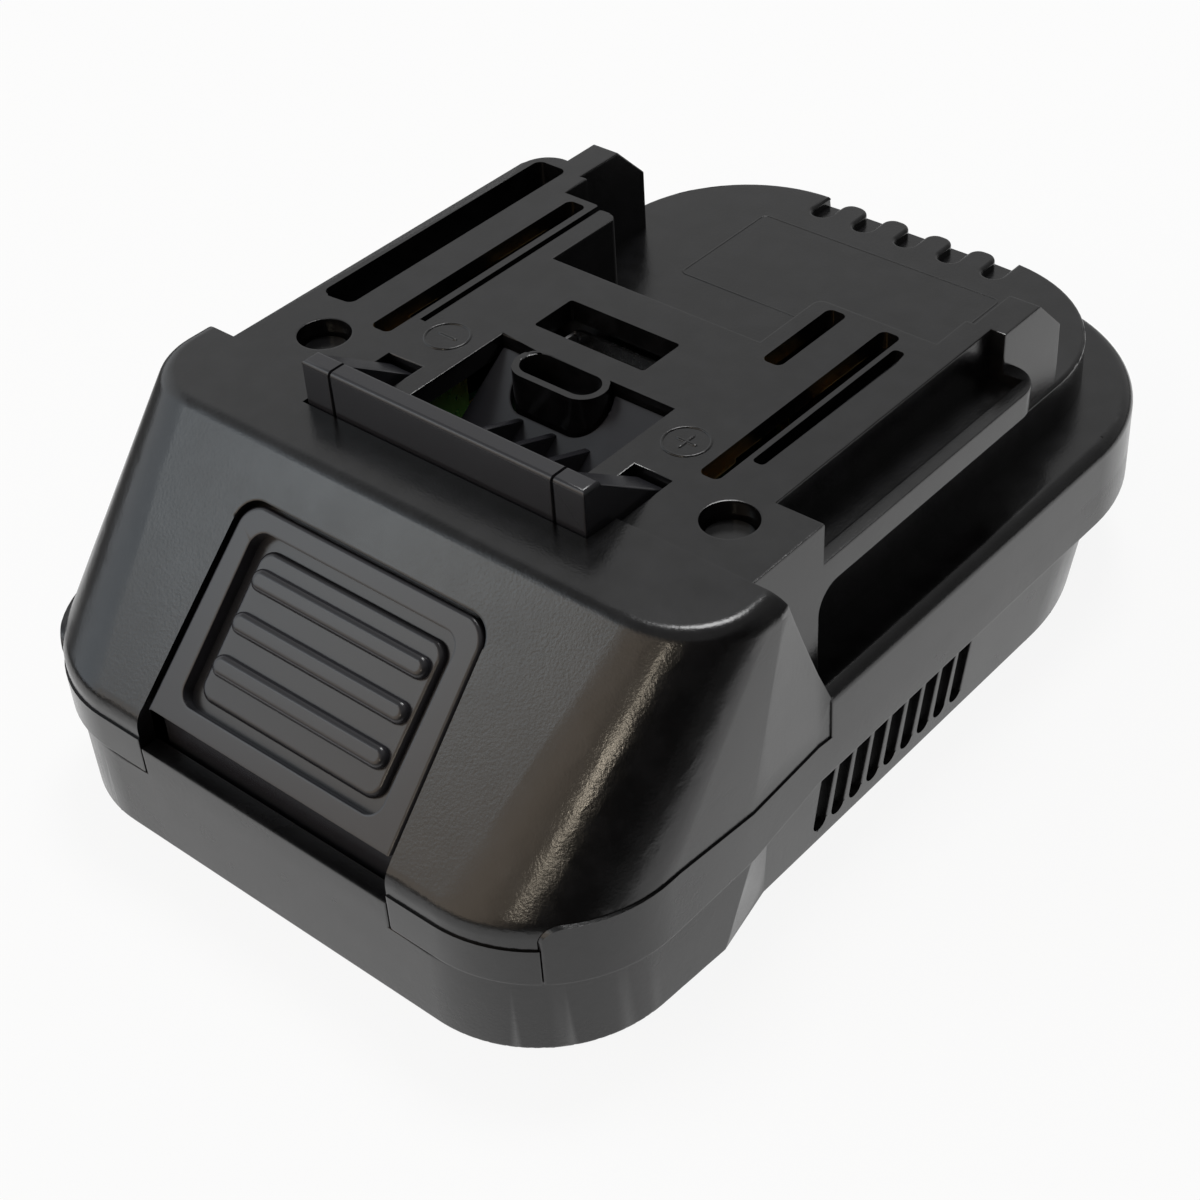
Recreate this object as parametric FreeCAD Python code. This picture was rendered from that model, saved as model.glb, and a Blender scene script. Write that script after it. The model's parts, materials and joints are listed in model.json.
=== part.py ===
import FreeCAD, Part
import math
import os
from FreeCAD import Vector

# Power tool battery adapter, in millimetres.
# While the pieces are modelled, x is the width from the centre line, y runs rearward from the line of the
# two deck screws, and z is the height above the deck, so that most of the adapter lies below zero.
# At the end every piece is moved so that the origin is the middle of the underside.

# Case plan
case_half_width = 37.5
nose_bulge = 1.3
front_reach = 39.6
rear_reach = 75.0
front_corner_radius = 15.5
rear_corner_radius = 23.0
bulge_end = -12.0
taper_end = 0.0
wall = 2.2
nose_half_width = case_half_width + nose_bulge

# Heights of the case levels, below the deck
case_depth = 38.0
parting_depth = 23.5
band_depth = 28.0
flange_depth = 17.5
terrace_depth = 12.0
floor_thickness = 1.6
flange_edge_round = 1.5

# Lower wall, set in a little under the band and drafted towards the underside
band_step = 0.5
front_step = 1.2
corner_step = 0.0
bulge_step = 0.4
side_draft = 0.7
front_draft = 0.2
bulge_draft = 0.4
bulge_shift = 7.5
bulge_lean = 4.0
rear_inset_top = 2.5
rear_inset_low = 3.5
rear_corner_growth = 5.0
rear_corner_lean = 2.0
bottom_round = 0.5

# Nose
slope_foot_depth = 21.2
nose_rise = 0.7
nose_top_front = -17.7
nose_top_half_width = nose_half_width
nose_top_corner_radius = 10.0
nose_top_bulge_end = -6.8
nose_rear_y = -6.2
nose_rear_lean = 0.47
nose_shell = 2.5
nose_edge_round = 2.2
foot_edge_round = 3.0
nose_set_in = 0.2
seam_setback = 3.6
seam_y = seam_setback - front_reach
seam_gap = 0.1
rim_rise = 2.8
rim_level_end = -23.0
rim_rise_end = 4.0
rim_corner_round = 1.8

# Deck block and rails
deck_half_width = case_half_width - 3.0
deck_middle_rear = 25.6
deck_shell = 2.5
core_half_width = deck_half_width - 5.0
channel_inner = core_half_width - 0.6
lip_inner = deck_half_width - 1.8
channel_front = 4.7
channel_rear = 41.2
channel_depth = 5.9
closed_slot_outer = deck_half_width - 1.2
closed_slot_front = 5.8
closed_slot_round = 1.0
lip_drop = 4.7
ledge_depth = 7.8
undercut_front = 3.9
undercut_round = 3.0
front_web = 1.2
rail_rear = 43.2
rail_corner_round = 3.7
strip_inner = channel_inner - 2.1
post_outer = strip_inner + 3.8
post_rear = 52.4
post_chamfer = 4.5

# Terrace behind the deck
terrace_half_width = case_half_width - 6.6
terrace_rear = rear_reach - 3.8
terrace_corner_radius = 18.0
terrace_edge_round = 0.5
notch_count = 5
notch_pitch = 6.1
notch_middle_x = 0.6
notch_width = 2.6
notch_length = 4.7
notch_depth = 1.3
finger_tip_round = 1.5

# Terminal slots through the deck
main_slot_x = core_half_width - 6.6
main_slot_width = 2.6
main_slot_front = 4.0
left_block_rear = 37.2
left_slot_rear = left_block_rear - 1.0
right_block_rear = 35.8
right_slot_rear = right_block_rear - 1.2
left_gap_x = main_slot_x - 2.6
left_gap_width = 0.8
left_gap_front = 8.0
left_gap_depth = 9.0
left_finger_inner = left_gap_x - 3.0
left_finger_rear = left_block_rear - 0.6
right_slot_x = core_half_width - 8.2
side_slot_x = core_half_width - 5.8
side_slot_width = 1.4
side_slot_front = 8.5
side_slot_rear = right_block_rear - 3.4
signal_slot_x = right_slot_x - 7.0
signal_slot_width = 2.4
signal_slot_front = 23.0
signal_slot_rear = right_block_rear - 1.0
right_block_inner = signal_slot_x - 3.3
block_corner_round = 1.2
block_wall = 1.3
block_roof = 2.0

# USB outlet
usb_x = -2.65
usb_y = 17.3
usb_cut_width = 14.9
usb_cut_length = 6.0
usb_shell_width = 13.2
usb_shell_thick = 5.7
usb_shell_wall = 0.4
usb_shell_top = 3.2
usb_tongue_width = 11.1
usb_tongue_thick = 1.9
usb_tongue_top = 5.2
usb_tongue_play = 0.05
usb_base_height = 3.0
usb_base_round = 0.4
usb_contact_count = 4
usb_contact_pitch = 2.2
usb_contact_width = 1.0
usb_contact_thick = 0.25

# Latch
latch_travel = 4.2
latch_gap = 0.35
bar_half_width = case_half_width - 19.0
bar_top = 5.6
bar_front = -10.5
bar_thickness = 2.4
bar_edge_round = 0.5
bar_groove_x = bar_half_width - 3.9
bar_groove = 0.35
lug_tip_y = 1.1
lug_tip_depth = 1.0
lug_opening_rear = 1.5
pocket_half_width = bar_half_width - 6.9
pocket_rear = 11.0
ramp_rear_depth = 1.2
ramp_slope = 0.69
ramp_thickness = 1.6
ramp_floor_depth = 10.4
fin_count = 3
fin_pitch = 4.5
fin_width = 0.9
fin_top_depth = -0.3
fin_tip_y = 5.5
boss_x = -1.7
boss_y = 8.9
boss_length = pocket_half_width
boss_width = 5.4
boss_wall = 0.8
boss_slot_depth = 3.6
boss_foot_depth = 12.5
web_thickness = 1.8

# Push button in the slope
window_top_depth = 3.2
window_foot_half_width = bar_half_width - 1.2
window_top_half_width = window_foot_half_width - 0.7
window_corner_round = 2.8
lip_depth = 24.6
button_foot_depth = 20.1
button_recess = 0.35
button_flange = 1.4
flange_margin = 1.4
panel_half_width = window_top_half_width - 2.9
panel_depth = 1.5
panel_front_margin = 2.6
panel_rear_margin = 2.3
panel_corner_round = 1.8
pillow_height = 0.8
pillow_margin = 1.2
pad_edge_round = 0.5
skirt_front = -front_reach + 3.0
skirt_thickness = 1.4
skirt_foot = -26.8
rib_count = 3
rib_pitch = 4.6
rib_half_length = panel_half_width - 1.9
rib_width = 2.4
rib_height = 0.9
rib_first = 9.3

# Latch springs
spring_y = -17.0
spring_wire = 0.7
spring_turns = 5
spring_side_gap = 2.5
spring_pin_height = 2.0

# Vents in each side wall
vent_count = 9
vent_pitch = 3.04
vent_first = 1.6
vent_width = 2.15
vent_low = 36.1
vent_depth = 1.3
vent_slant = 1.0

# Channel for the donor battery, open at the underside and at the rear
channel_half_width = case_half_width - 9.5
battery_stop = -22.0
battery_ceiling = 24.5
ceiling_thickness = 2.0
channel_wall = 2.0
battery_rail_reach = 3.0
battery_rail_height = 3.0
battery_rail_front = -10.0
battery_catch_front = 40.0
battery_catch_length = 6.0

# Screws
deck_screw_x = deck_half_width - 7.5
well_radius = 2.9
plug_top = 1.9
plug_thickness = 1.2
plug_play = 0.03
plug_edge = 0.4
screw_seat_depth = 5.7
screw_head_radius = 2.6
screw_head_height = 2.1
screw_shank_radius = 1.45
screw_hole_clearance = 0.25
pilot_clearance = 0.04
screw_drive_radius = 1.2
screw_drive_depth = 1.2
boss_radius = 4.0
post_radius = 3.4
boss_meet_depth = 14.0
rear_screw_x = case_half_width - 5.9
rear_screw_setback = 31.0
rear_screw_y = rear_reach - rear_screw_setback
rear_shank_end = 1.5
rear_column_radius = 3.9
rear_head_radius = 2.6
rear_seat_height = 3.0
rear_boss_radius = 3.2

# Circuit board and what stands on it
board_thickness = 1.6
board_lift = 3.1
board_half_width = channel_half_width - 2.0
board_front = 12.4
board_rear = rear_reach - 13.0
board_arm_inner = board_half_width - 11.5
board_arm_front = 4.8
board_screw_x = board_half_width - 6.0
board_screw_y = board_rear - 12.0
board_post_radius = 2.6
board_screw_radius = 1.0
board_screw_head = 2.0
board_screw_head_height = 1.2
leaf_thickness = 0.6
leaf_gap = 0.9
leaf_top = 3.0
leaf_length = 8.0
leaf_first_y = 7.0
leaf_second_y = 25.0
leaf_foot = 1.0
signal_leaf_length = 7.0
inductor_x = 6.0
inductor_y = 44.0
inductor_size = 7.0
inductor_height = 3.2
capacitor_x = -15.6
capacitor_y = 17.5
capacitor_radius = 3.2
capacitor_height = 8.0
chip_x = -7.0
chip_y = 44.0
chip_width = 5.0
chip_length = 4.0
chip_height = 1.5

# Donor battery's terminal block
terminal_block_half_width = channel_half_width - 6.0
terminal_block_length = 8.0
terminal_block_height = 10.0
blade_thickness = 0.8
blade_height = 5.5
blade_reach = 9.0
blade_x = terminal_block_half_width - 6.0
blade_tail_width = 3.0
blade_tail_rise = 1.6
signal_blade_x = 5.0
power_wire_diameter = 2.2
power_wire_lead = 5.5
power_wire_tail = 6.5
power_wire_lift = 0.1
power_pad_inset = 4.0
signal_wire_diameter = 1.2
signal_wire_lead = 8.0
signal_wire_tail = 9.0
signal_wire_lift = 0.3
signal_pad_shift = 3.0

# Places worked out from the sizes above
spring_x = (blade_x + signal_blade_x) / 2
spring_diameter = blade_x - signal_blade_x - 2 * spring_side_gap
spring_pin_radius = spring_diameter / 2 - spring_wire - 0.1
board_top = -battery_ceiling + ceiling_thickness + board_lift + board_thickness
roof_top = -battery_ceiling + ceiling_thickness
slope_angle = math.degrees(math.atan2(slope_foot_depth + nose_rise, front_reach + nose_top_front))
tangent = math.tan(math.radians(slope_angle))
slope_length_factor = 1 / math.sin(math.radians(slope_angle))
far = 2 * rear_reach


def box(x0, x1, y0, y1, z0, z1):
    return Part.makeBox(x1 - x0, y1 - y0, z1 - z0, Vector(x0, y0, z0))


def cylinder(x, y, z0, z1, radius):
    return Part.makeCylinder(radius, z1 - z0, Vector(x, y, z0))


def mirrored(shape):
    return shape.mirror(Vector(0, 0, 0), Vector(1, 0, 0))


def on_both_sides(shape):
    return shape.fuse(mirrored(shape))


def tidied(shape):
    """The shape with its split faces merged, or as it is where they can't be merged."""
    try:
        merged = shape.removeSplitter()
    except Part.OCCError:
        return shape
    return merged if merged.isValid() else shape


def joined(shapes):
    return tidied(shapes[0].multiFuse(shapes[1:]))


def face_of(points):
    return Part.Face(Part.makePolygon(points + [points[0]]))


def side_profile(points, x0, x1):
    """Solid between x0 and x1 whose outline is given as (y, z) points."""
    return face_of([Vector(x0, y, z) for y, z in points]).extrude(Vector(x1 - x0, 0, 0))


def plan_profile(points, z0, z1):
    """Solid between z0 and z1 whose outline is given as (x, y) points."""
    return face_of([Vector(x, y, z0) for x, y in points]).extrude(Vector(0, 0, z1 - z0))


def rounded_box(x0, x1, y0, y1, z0, z1, radius):
    """Box whose upright edges are rounded."""
    radius = min(radius, (x1 - x0) * 0.49, (y1 - y0) * 0.49)
    solid = box(x0, x1, y0, y1, z0, z1)
    upright = [e for e in solid.Edges if abs(e.Vertexes[0].Z - e.Vertexes[1].Z) > (z1 - z0) * 0.5]
    return solid.makeFillet(radius, upright)


def obround(x, y, length, width, z0, z1):
    """Upright bar with round ends, its length along x."""
    return rounded_box(x - length / 2, x + length / 2, y - width / 2, y + width / 2, z0, z1, width / 2)


def corner_turn(centre_x, centre_y, radius, bulge_x, bulge_y):
    """Angle at which a corner's arc runs smoothly into the line to the bulge."""
    across = bulge_x - centre_x
    along = bulge_y - centre_y
    return math.atan2(along, across) - math.acos(radius / math.hypot(across, along))


def corner_edges(x, y, radius, bulge_x, bulge_y, z):
    """Front corner about (x, y): its arc and the line from there to the bulge."""
    angle = corner_turn(x, y, radius, bulge_x, bulge_y)
    half_angle = (angle - math.pi / 2) / 2
    start = Vector(x, y - radius, z)
    middle = Vector(x + radius * math.cos(half_angle), y + radius * math.sin(half_angle), z)
    end = Vector(x + radius * math.cos(angle), y + radius * math.sin(angle), z)
    line = Part.LineSegment(end, Vector(bulge_x, bulge_y, z)).toShape()
    return [Part.Arc(start, middle, end).toShape(), line]


def outline(z, front, turn, corner, nose, bulge, taper, side, rear_corner, rear):
    """Closed case plan at height z: flat front, round corners, full nose, D-shaped rear."""
    diagonal = math.sqrt(0.5)
    rear_y = rear - rear_corner
    points = [Vector(nose, bulge, z), Vector(side, taper, z), Vector(side, rear_y, z)]
    right = corner_edges(turn - corner, corner - front, corner, nose, bulge, z)
    right += [Part.LineSegment(points[i], points[i + 1]).toShape() for i in range(2)]
    rear_mid = Vector(side - rear_corner * (1 - diagonal), rear_y + rear_corner * diagonal, z)
    rear_end = Vector(side - rear_corner, rear, z)
    right.append(Part.Arc(points[2], rear_mid, rear_end).toShape())
    front_end = Vector(turn - corner, -front, z)
    left = [mirrored(edge) for edge in right]
    rear_line = Part.LineSegment(rear_end, Vector(-rear_end.x, rear, z)).toShape()
    front_line = Part.LineSegment(Vector(-front_end.x, -front, z), front_end).toShape()
    return Part.Wire(Part.__sortEdges__(right + [rear_line] + left + [front_line]))


def ruled_solid(low, high):
    """Solid between two closed plans, given as lists of edges that match one to one."""
    sides = [Part.makeRuledSurface(a, b) for a, b in zip(low, high)]
    caps = [Part.Face(Part.Wire(Part.__sortEdges__(edges))) for edges in (low, high)]
    shell = Part.makeShell(sides + caps)
    shell.sewShape()
    solid = Part.Solid(shell)
    if solid.Volume < 0:
        solid.reverse()
    return solid


def band_outline(z, inset=0.0):
    return outline(z, front_reach - inset, nose_half_width - inset, front_corner_radius - inset,
                   nose_half_width - inset, bulge_end, taper_end, case_half_width - inset,
                   rear_corner_radius - inset, rear_reach - inset)


def band_solid(z0, z1, inset=0.0):
    return Part.Face(band_outline(z0, inset)).extrude(Vector(0, 0, z1 - z0))


def lower_form(z_low, inset=0.0):
    """Solid of the drafted lower case, from z_low up to the band."""
    share = (-band_depth - z_low) / (case_depth - band_depth)
    turn = nose_half_width - front_step - inset
    corner = front_corner_radius - corner_step - inset
    nose = nose_half_width - bulge_step - inset
    side = case_half_width - band_step - inset
    rear_corner = rear_corner_radius + rear_corner_growth - inset
    top = outline(-band_depth, front_reach - inset, turn, corner, nose, bulge_end, taper_end - bulge_shift,
                  side, rear_corner, rear_reach - rear_inset_top - inset)
    rear_drafted = rear_inset_top + (rear_inset_low - rear_inset_top) * share
    low = outline(z_low, front_reach - front_draft * share - inset, turn, corner,
                  nose - bulge_draft * share, bulge_end - bulge_lean * share, taper_end - bulge_shift,
                  side - side_draft * share, rear_corner + rear_corner_lean * share,
                  rear_reach - rear_drafted - inset)
    return Part.makeLoft([low, top], True, True)


def slope_y(z, inset=0.0):
    """Where the sloping front, moved inwards by inset, stands at height z."""
    return -front_reach + (z + slope_foot_depth) / tangent + inset * slope_length_factor


def on_slope(shape):
    """Moves a shape drawn flat (x across, y up the slope, z outwards) onto the sloping front."""
    placed = shape.copy()
    placed.rotate(Vector(0, 0, 0), Vector(1, 0, 0), slope_angle)
    placed.translate(Vector(0, -front_reach, -slope_foot_depth))
    return placed


def up_slope(depth):
    """Distance up the slope, from its foot, of a point at a depth below the deck."""
    return (slope_foot_depth - depth) * slope_length_factor


def nose_edges(z, front_y, half, corner, bulge, rear_y):
    narrow = half - nose_half_width + case_half_width
    back = [Vector(narrow, rear_y, z), Vector(narrow, taper_end, z), Vector(half, bulge, z)]
    end = Vector(half - corner, front_y, z)
    right = [Part.LineSegment(back[0], back[1]).toShape(), Part.LineSegment(back[1], back[2]).toShape()]
    right += corner_edges(end.x, front_y + corner, corner, half, bulge, z)
    left = [mirrored(edge) for edge in right]
    front_line = Part.LineSegment(end, Vector(-end.x, front_y, z)).toShape()
    rear_line = Part.LineSegment(Vector(-narrow, rear_y, z), back[0]).toShape()
    return right + [front_line] + left + [rear_line]


def nose_form(inset, top_inset, front_shift):
    """Solid of the nose: conical corners and a sloping front between two plans."""
    low_z = -slope_foot_depth
    high_z = nose_rise - top_inset
    rear_y = 6.0
    low = nose_edges(low_z, slope_y(low_z) + front_shift, nose_half_width - inset,
                     front_corner_radius - inset, bulge_end, rear_y)
    high = nose_edges(high_z, slope_y(high_z) + front_shift, nose_top_half_width - inset,
                      nose_top_corner_radius - inset, nose_top_bulge_end, rear_y)
    nose = ruled_solid(low, high)
    lean_top = nose_rear_y - nose_rear_lean * 4 - inset
    lean_foot = nose_rear_y + nose_rear_lean * 30 - inset
    behind = side_profile([(lean_top, 4), (far, 4), (far, -30), (lean_foot, -30)], -far, far)
    return nose.cut(behind)


def rounded_nose():
    """The nose down to the parting line, with its top and foot edges rounded."""
    straight = band_solid(-parting_depth, -slope_foot_depth, nose_set_in).common(
        box(-far, far, -far, 4, -far, 0))
    nose = tidied(nose_form(nose_set_in, 0.0, nose_set_in).fuse(straight))
    foot = [e for e in nose.Edges
            if all(abs(v.Z + slope_foot_depth) < 0.01 for v in e.Vertexes)
            and e.CenterOfMass.y < -front_reach + front_corner_radius]
    nose = nose.makeFillet(foot_edge_round, foot)
    top = [e for e in nose.Edges
           if all(abs(v.Z - nose_rise) < 0.01 for v in e.Vertexes)
           and e.CenterOfMass.y < nose_rear_y - nose_rear_lean * nose_rise - 0.5]
    return nose.makeFillet(nose_edge_round, top)


def terrace_solid(inset, z0, z1):
    half = terrace_half_width - inset
    rear = terrace_rear - inset
    corner = terrace_corner_radius - inset
    diagonal = math.sqrt(0.5)
    turn = Vector(half, rear - corner, z0)
    middle = Vector(half - corner * (1 - diagonal), rear - corner * (1 - diagonal), z0)
    end = Vector(half - corner, rear, z0)
    right = [Part.LineSegment(Vector(half, 0, z0), turn).toShape(), Part.Arc(turn, middle, end).toShape()]
    left = [mirrored(edge) for edge in right]
    lines = [Part.LineSegment(end, Vector(-end.x, rear, z0)).toShape(),
             Part.LineSegment(Vector(-half, 0, z0), Vector(half, 0, z0)).toShape()]
    wire = Part.Wire(Part.__sortEdges__(right + left + lines))
    return Part.Face(wire).extrude(Vector(0, 0, z1 - z0))


def notched_terrace():
    """The level step behind the deck, with shallow round notches in its rear edge."""
    solid = terrace_solid(0, -flange_depth, -terrace_depth)
    cuts = []
    low, high = -terrace_depth - notch_depth, -terrace_depth + 1
    tip = finger_tip_round
    for i in range(notch_count):
        x = notch_middle_x + (i - (notch_count - 1) / 2) * notch_pitch
        front = terrace_rear - notch_length
        half = notch_width / 2
        cuts.append(rounded_box(x - half, x + half, front, terrace_rear + notch_width, low, high, half))
        for side in (-1, 1):
            if i + side in range(notch_count):
                corner = x + side * (half + tip)
                flare = box(min(x, corner), max(x, corner), terrace_rear - tip, terrace_rear + 1, low, high)
                cuts.append(flare.cut(cylinder(corner, terrace_rear - tip, low - 1, high + 1, tip)))
    solid = tidied(solid.cut(cuts[0].multiFuse(cuts[1:])))
    top = [e for e in solid.Edges
           if all(abs(v.Z + terrace_depth) < 0.01 for v in e.Vertexes) and e.CenterOfMass.y > 1]
    return solid.makeFillet(terrace_edge_round, top)


def rail_body():
    """Right rail, undercut, with a round where it meets the full-height front and at its rear corner."""
    rail = box(core_half_width - 1, deck_half_width, 0, rail_rear, -ledge_depth, 0)
    corner = [e for e in rail.Edges if abs(e.Vertexes[0].Z - e.Vertexes[-1].Z) > 1
              and e.CenterOfMass.x > deck_half_width - 0.01 and e.CenterOfMass.y > rail_rear - 0.01]
    rail = rail.makeFillet(rail_corner_round, corner)
    reach = undercut_round
    hollow = Part.makeCylinder(reach, 2 * far, Vector(-far, undercut_front + reach, -ledge_depth - reach),
                               Vector(1, 0, 0))
    round_in = box(core_half_width - 1, deck_half_width, undercut_front - 1, undercut_front + reach,
                   -ledge_depth - reach, -ledge_depth + 1)
    return rail.fuse(round_in.cut(hollow))


def deck_form():
    """Deck block with its side rails, rear fingers and posts."""
    top, foot = 0.0, -flange_depth
    pieces = [
        box(-core_half_width, core_half_width, nose_rear_y - 2, deck_middle_rear, foot, top),
        on_both_sides(box(strip_inner - 1, core_half_width, 0, channel_rear, foot, top)),
        on_both_sides(box(core_half_width - 1, deck_half_width, nose_rear_y - 2, undercut_front, foot, top)),
        on_both_sides(rail_body()),
        on_both_sides(side_profile(
            [(channel_rear - 1, foot), (channel_rear - 1, top), (post_rear - post_chamfer, top),
             (post_rear, -post_chamfer), (post_rear, foot)], strip_inner, post_outer)),
    ]
    low = -terrace_depth - 1
    pieces.append(rounded_box(-core_half_width, -left_gap_x + left_gap_width / 2 - 0.2, 10,
                              left_block_rear, low, top, block_corner_round))
    pieces.append(rounded_box(-left_gap_x - 0.2, -left_finger_inner, 10, left_finger_rear, low, top,
                              block_corner_round))
    pieces.append(rounded_box(right_block_inner, core_half_width, 10, right_block_rear, low, top,
                              block_corner_round))
    solid = joined(pieces)
    cuts = [
        rounded_box(-closed_slot_outer, -channel_inner, closed_slot_front, channel_rear, -channel_depth, 2,
                    closed_slot_round),
        box(channel_inner, lip_inner + 0.1, channel_front, channel_rear, -channel_depth, 2),
        box(lip_inner, deck_half_width + 1, channel_front, rail_rear + 1, -lip_drop, 2),
        box(post_outer, deck_half_width + 1, channel_rear, rail_rear + 1, -lip_drop, 2),
    ]
    return solid.cut(cuts[0].multiFuse(cuts[1:]))


def deck_openings():
    """Terminal slots, USB cut-out, screw wells and what the latch passes through."""
    deep = -terrace_depth - 4
    half = main_slot_width / 2
    cuts = [
        rounded_box(-main_slot_x - half, -main_slot_x + half, main_slot_front, left_slot_rear, deep, 2, 0.8),
        rounded_box(right_slot_x - half, right_slot_x + half - 0.2, main_slot_front, right_slot_rear, deep, 2,
                    0.8),
        rounded_box(side_slot_x - side_slot_width / 2, side_slot_x + side_slot_width / 2, side_slot_front,
                    side_slot_rear, deep, 2, 0.5),
        rounded_box(signal_slot_x - signal_slot_width / 2, signal_slot_x + signal_slot_width / 2,
                    signal_slot_front, signal_slot_rear, deep, 2, 0.8),
        box(-left_gap_x - left_gap_width / 2, -left_gap_x + left_gap_width / 2, left_gap_front,
            left_block_rear + 1, -left_gap_depth, 2),
        rounded_box(usb_x - usb_cut_width / 2, usb_x + usb_cut_width / 2, usb_y - usb_cut_length / 2,
                    usb_y + usb_cut_length / 2, deep, 2, 0.4),
        box(-bar_half_width - latch_gap, bar_half_width + latch_gap, bar_front - latch_gap,
            bar_front + bar_thickness + latch_gap, deep, 4),
        on_both_sides(box(bar_groove_x - latch_gap, bar_half_width + latch_gap, bar_front,
                          lug_opening_rear, deep, 4)),
        box(-pocket_half_width, pocket_half_width, bar_front, pocket_rear, deep, 4),
    ]
    return cuts[0].multiFuse(cuts[1:])


def inner_space():
    """Everything hollow inside the upper moulding."""
    foot = -parting_depth - 10
    straight = band_solid(foot, -slope_foot_depth + 0.2, wall)
    below_flange = band_solid(foot, -flange_depth - wall, wall)
    spaces = [
        nose_form(nose_shell, nose_shell, nose_shell * slope_length_factor),
        straight.common(box(-far, far, -far, 4, foot, 0)),
        below_flange.common(box(-far, far, 0, far, foot, 0)),
        terrace_solid(wall, foot, -terrace_depth - wall),
        box(-core_half_width + wall, core_half_width - wall, -14, deck_middle_rear - wall, foot, -deck_shell),
        box(-deck_half_width + wall, deck_half_width - wall, -14, undercut_front - front_web, foot,
            -deck_shell),
        box(-main_slot_x - 1.9, -left_gap_x - left_gap_width / 2 - 0.7, 10, left_slot_rear, foot,
            -block_roof),
        box(right_slot_x - 1.9, side_slot_x + side_slot_width / 2 + 0.3, 10, right_slot_rear, foot,
            -block_roof),
        box(right_block_inner + block_wall, signal_slot_x + 2.0, 10, right_slot_rear, foot, -block_roof),
    ]
    return spaces[0].multiFuse(spaces[1:])


def make_top_cover():
    flange = band_solid(-parting_depth, -flange_depth)
    rim = [e for e in flange.Edges if all(abs(v.Z + flange_depth) < 0.01 for v in e.Vertexes)]
    flange = flange.makeFillet(flange_edge_round, rim)
    flange = flange.cut(box(-far, far, -far, nose_rear_y + nose_rear_lean * flange_depth, -far, 0))
    body = joined([flange, rounded_nose(), deck_form(), notched_terrace()])

    body = body.cut(inner_space())

    # Bosses inside, and the guide boss of the latch with its slot
    slab = [
        on_both_sides(cylinder(deck_screw_x, 0, -boss_meet_depth, -deck_shell + 0.5, boss_radius)),
        on_both_sides(cylinder(rear_screw_x, rear_screw_y, roof_top + 0.1, -flange_depth - wall + 0.5,
                               rear_boss_radius)),
    ]
    body = joined([body] + slab)
    body = body.cut(deck_openings())
    boss = obround(boss_x, boss_y, boss_length, boss_width, -boss_foot_depth, 0)
    boss = boss.cut(obround(boss_x, boss_y, boss_length - 2 * boss_wall, boss_width - 2 * boss_wall,
                            -boss_slot_depth, 1))
    body = body.fuse(boss)

    # Button window through the slope, and down to the lower case's lip
    body = body.cut(joined([window_solid(0.0, -8, 8), box(
        -window_foot_half_width, window_foot_half_width, -front_reach - 2, -front_reach + nose_shell + 3,
        -parting_depth - 10, -slope_foot_depth + 1)]))

    # Skirt between the two seams, down to the band's lower line
    skirt = band_solid(-band_depth, -parting_depth).cut(band_solid(-band_depth, -parting_depth, wall))
    skirt = skirt.common(box(-far, far, -far, seam_y, -far, 0))
    skirt = skirt.cut(box(-window_foot_half_width, window_foot_half_width, -far, 0, -far, 0))
    body = body.cut(rising_rim(seam_y, -1.0)).fuse(skirt)

    # Screw wells from the deck, pilot holes from below at the rear
    holes = [
        on_both_sides(cylinder(deck_screw_x, 0, -screw_seat_depth, 2, well_radius)),
        on_both_sides(cylinder(deck_screw_x, 0, -boss_meet_depth - 1, 0,
                               screw_shank_radius + screw_hole_clearance)),
        on_both_sides(cylinder(rear_screw_x, rear_screw_y, roof_top - 1, -flange_depth - 1,
                               screw_shank_radius + pilot_clearance)),
    ]
    body = body.cut(holes[0].multiFuse(holes[1:]))
    return tidied(body)


def rising_rim(start, outer_inset):
    """Wedge of wall by which the lower case's rim climbs towards the seam at each front corner."""
    foot = -parting_depth
    top = foot + rim_rise
    wedge = side_profile([(start, foot), (start, top), (rim_level_end, top), (rim_rise_end, foot)], -far, far)
    corner = [e for e in wedge.Edges
              if all(abs(v.Z - top) < 0.01 and abs(v.Y - start) < 0.01 for v in e.Vertexes)]
    wedge = wedge.makeFillet(rim_corner_round, corner)
    return wedge.common(band_solid(foot, top, outer_inset).cut(band_solid(foot, top, wall)))


def window_solid(grow, low, high, edge_round=0.0):
    """Prism through the sloping front with the window's outline, wider by grow on every side."""
    top = up_slope(window_top_depth) + grow
    half_top = window_top_half_width + grow
    half_foot = window_foot_half_width + grow
    points = [Vector(-half_foot, 0, low), Vector(half_foot, 0, low), Vector(half_top, top, low),
              Vector(-half_top, top, low)]
    prism = face_of(points).extrude(Vector(0, 0, high - low))
    corners = [e for e in prism.Edges
               if all(abs(v.Y - top) < 0.01 for v in e.Vertexes)
               and abs(e.Vertexes[0].Z - e.Vertexes[1].Z) > 1]
    prism = prism.makeFillet(window_corner_round, corners)
    if edge_round:
        rim = [e for e in prism.Edges
               if all(abs(v.Z - high) < 0.01 for v in e.Vertexes) and e.CenterOfMass.y > 1]
        prism = prism.makeFillet(edge_round, rim)
    return on_slope(prism)


def vent(y):
    """Blind slanted groove from the band down the side wall, round at its foot."""
    half = vent_width / 2
    foot = -vent_low + half
    inner = case_half_width - band_step - vent_depth
    left, right = Vector(inner, y - half, foot), Vector(inner, y + half, foot)
    top_left = Vector(inner, y - half + vent_slant, -band_depth)
    top_right = Vector(inner, y + half + vent_slant, -band_depth)
    edges = [Part.Arc(left, Vector(inner, y, -vent_low), right).toShape(),
             Part.LineSegment(right, top_right).toShape(),
             Part.LineSegment(top_right, top_left).toShape(),
             Part.LineSegment(top_left, left).toShape()]
    return Part.Face(Part.Wire(edges)).extrude(Vector(vent_depth + band_step + 2, 0, 0))


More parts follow.
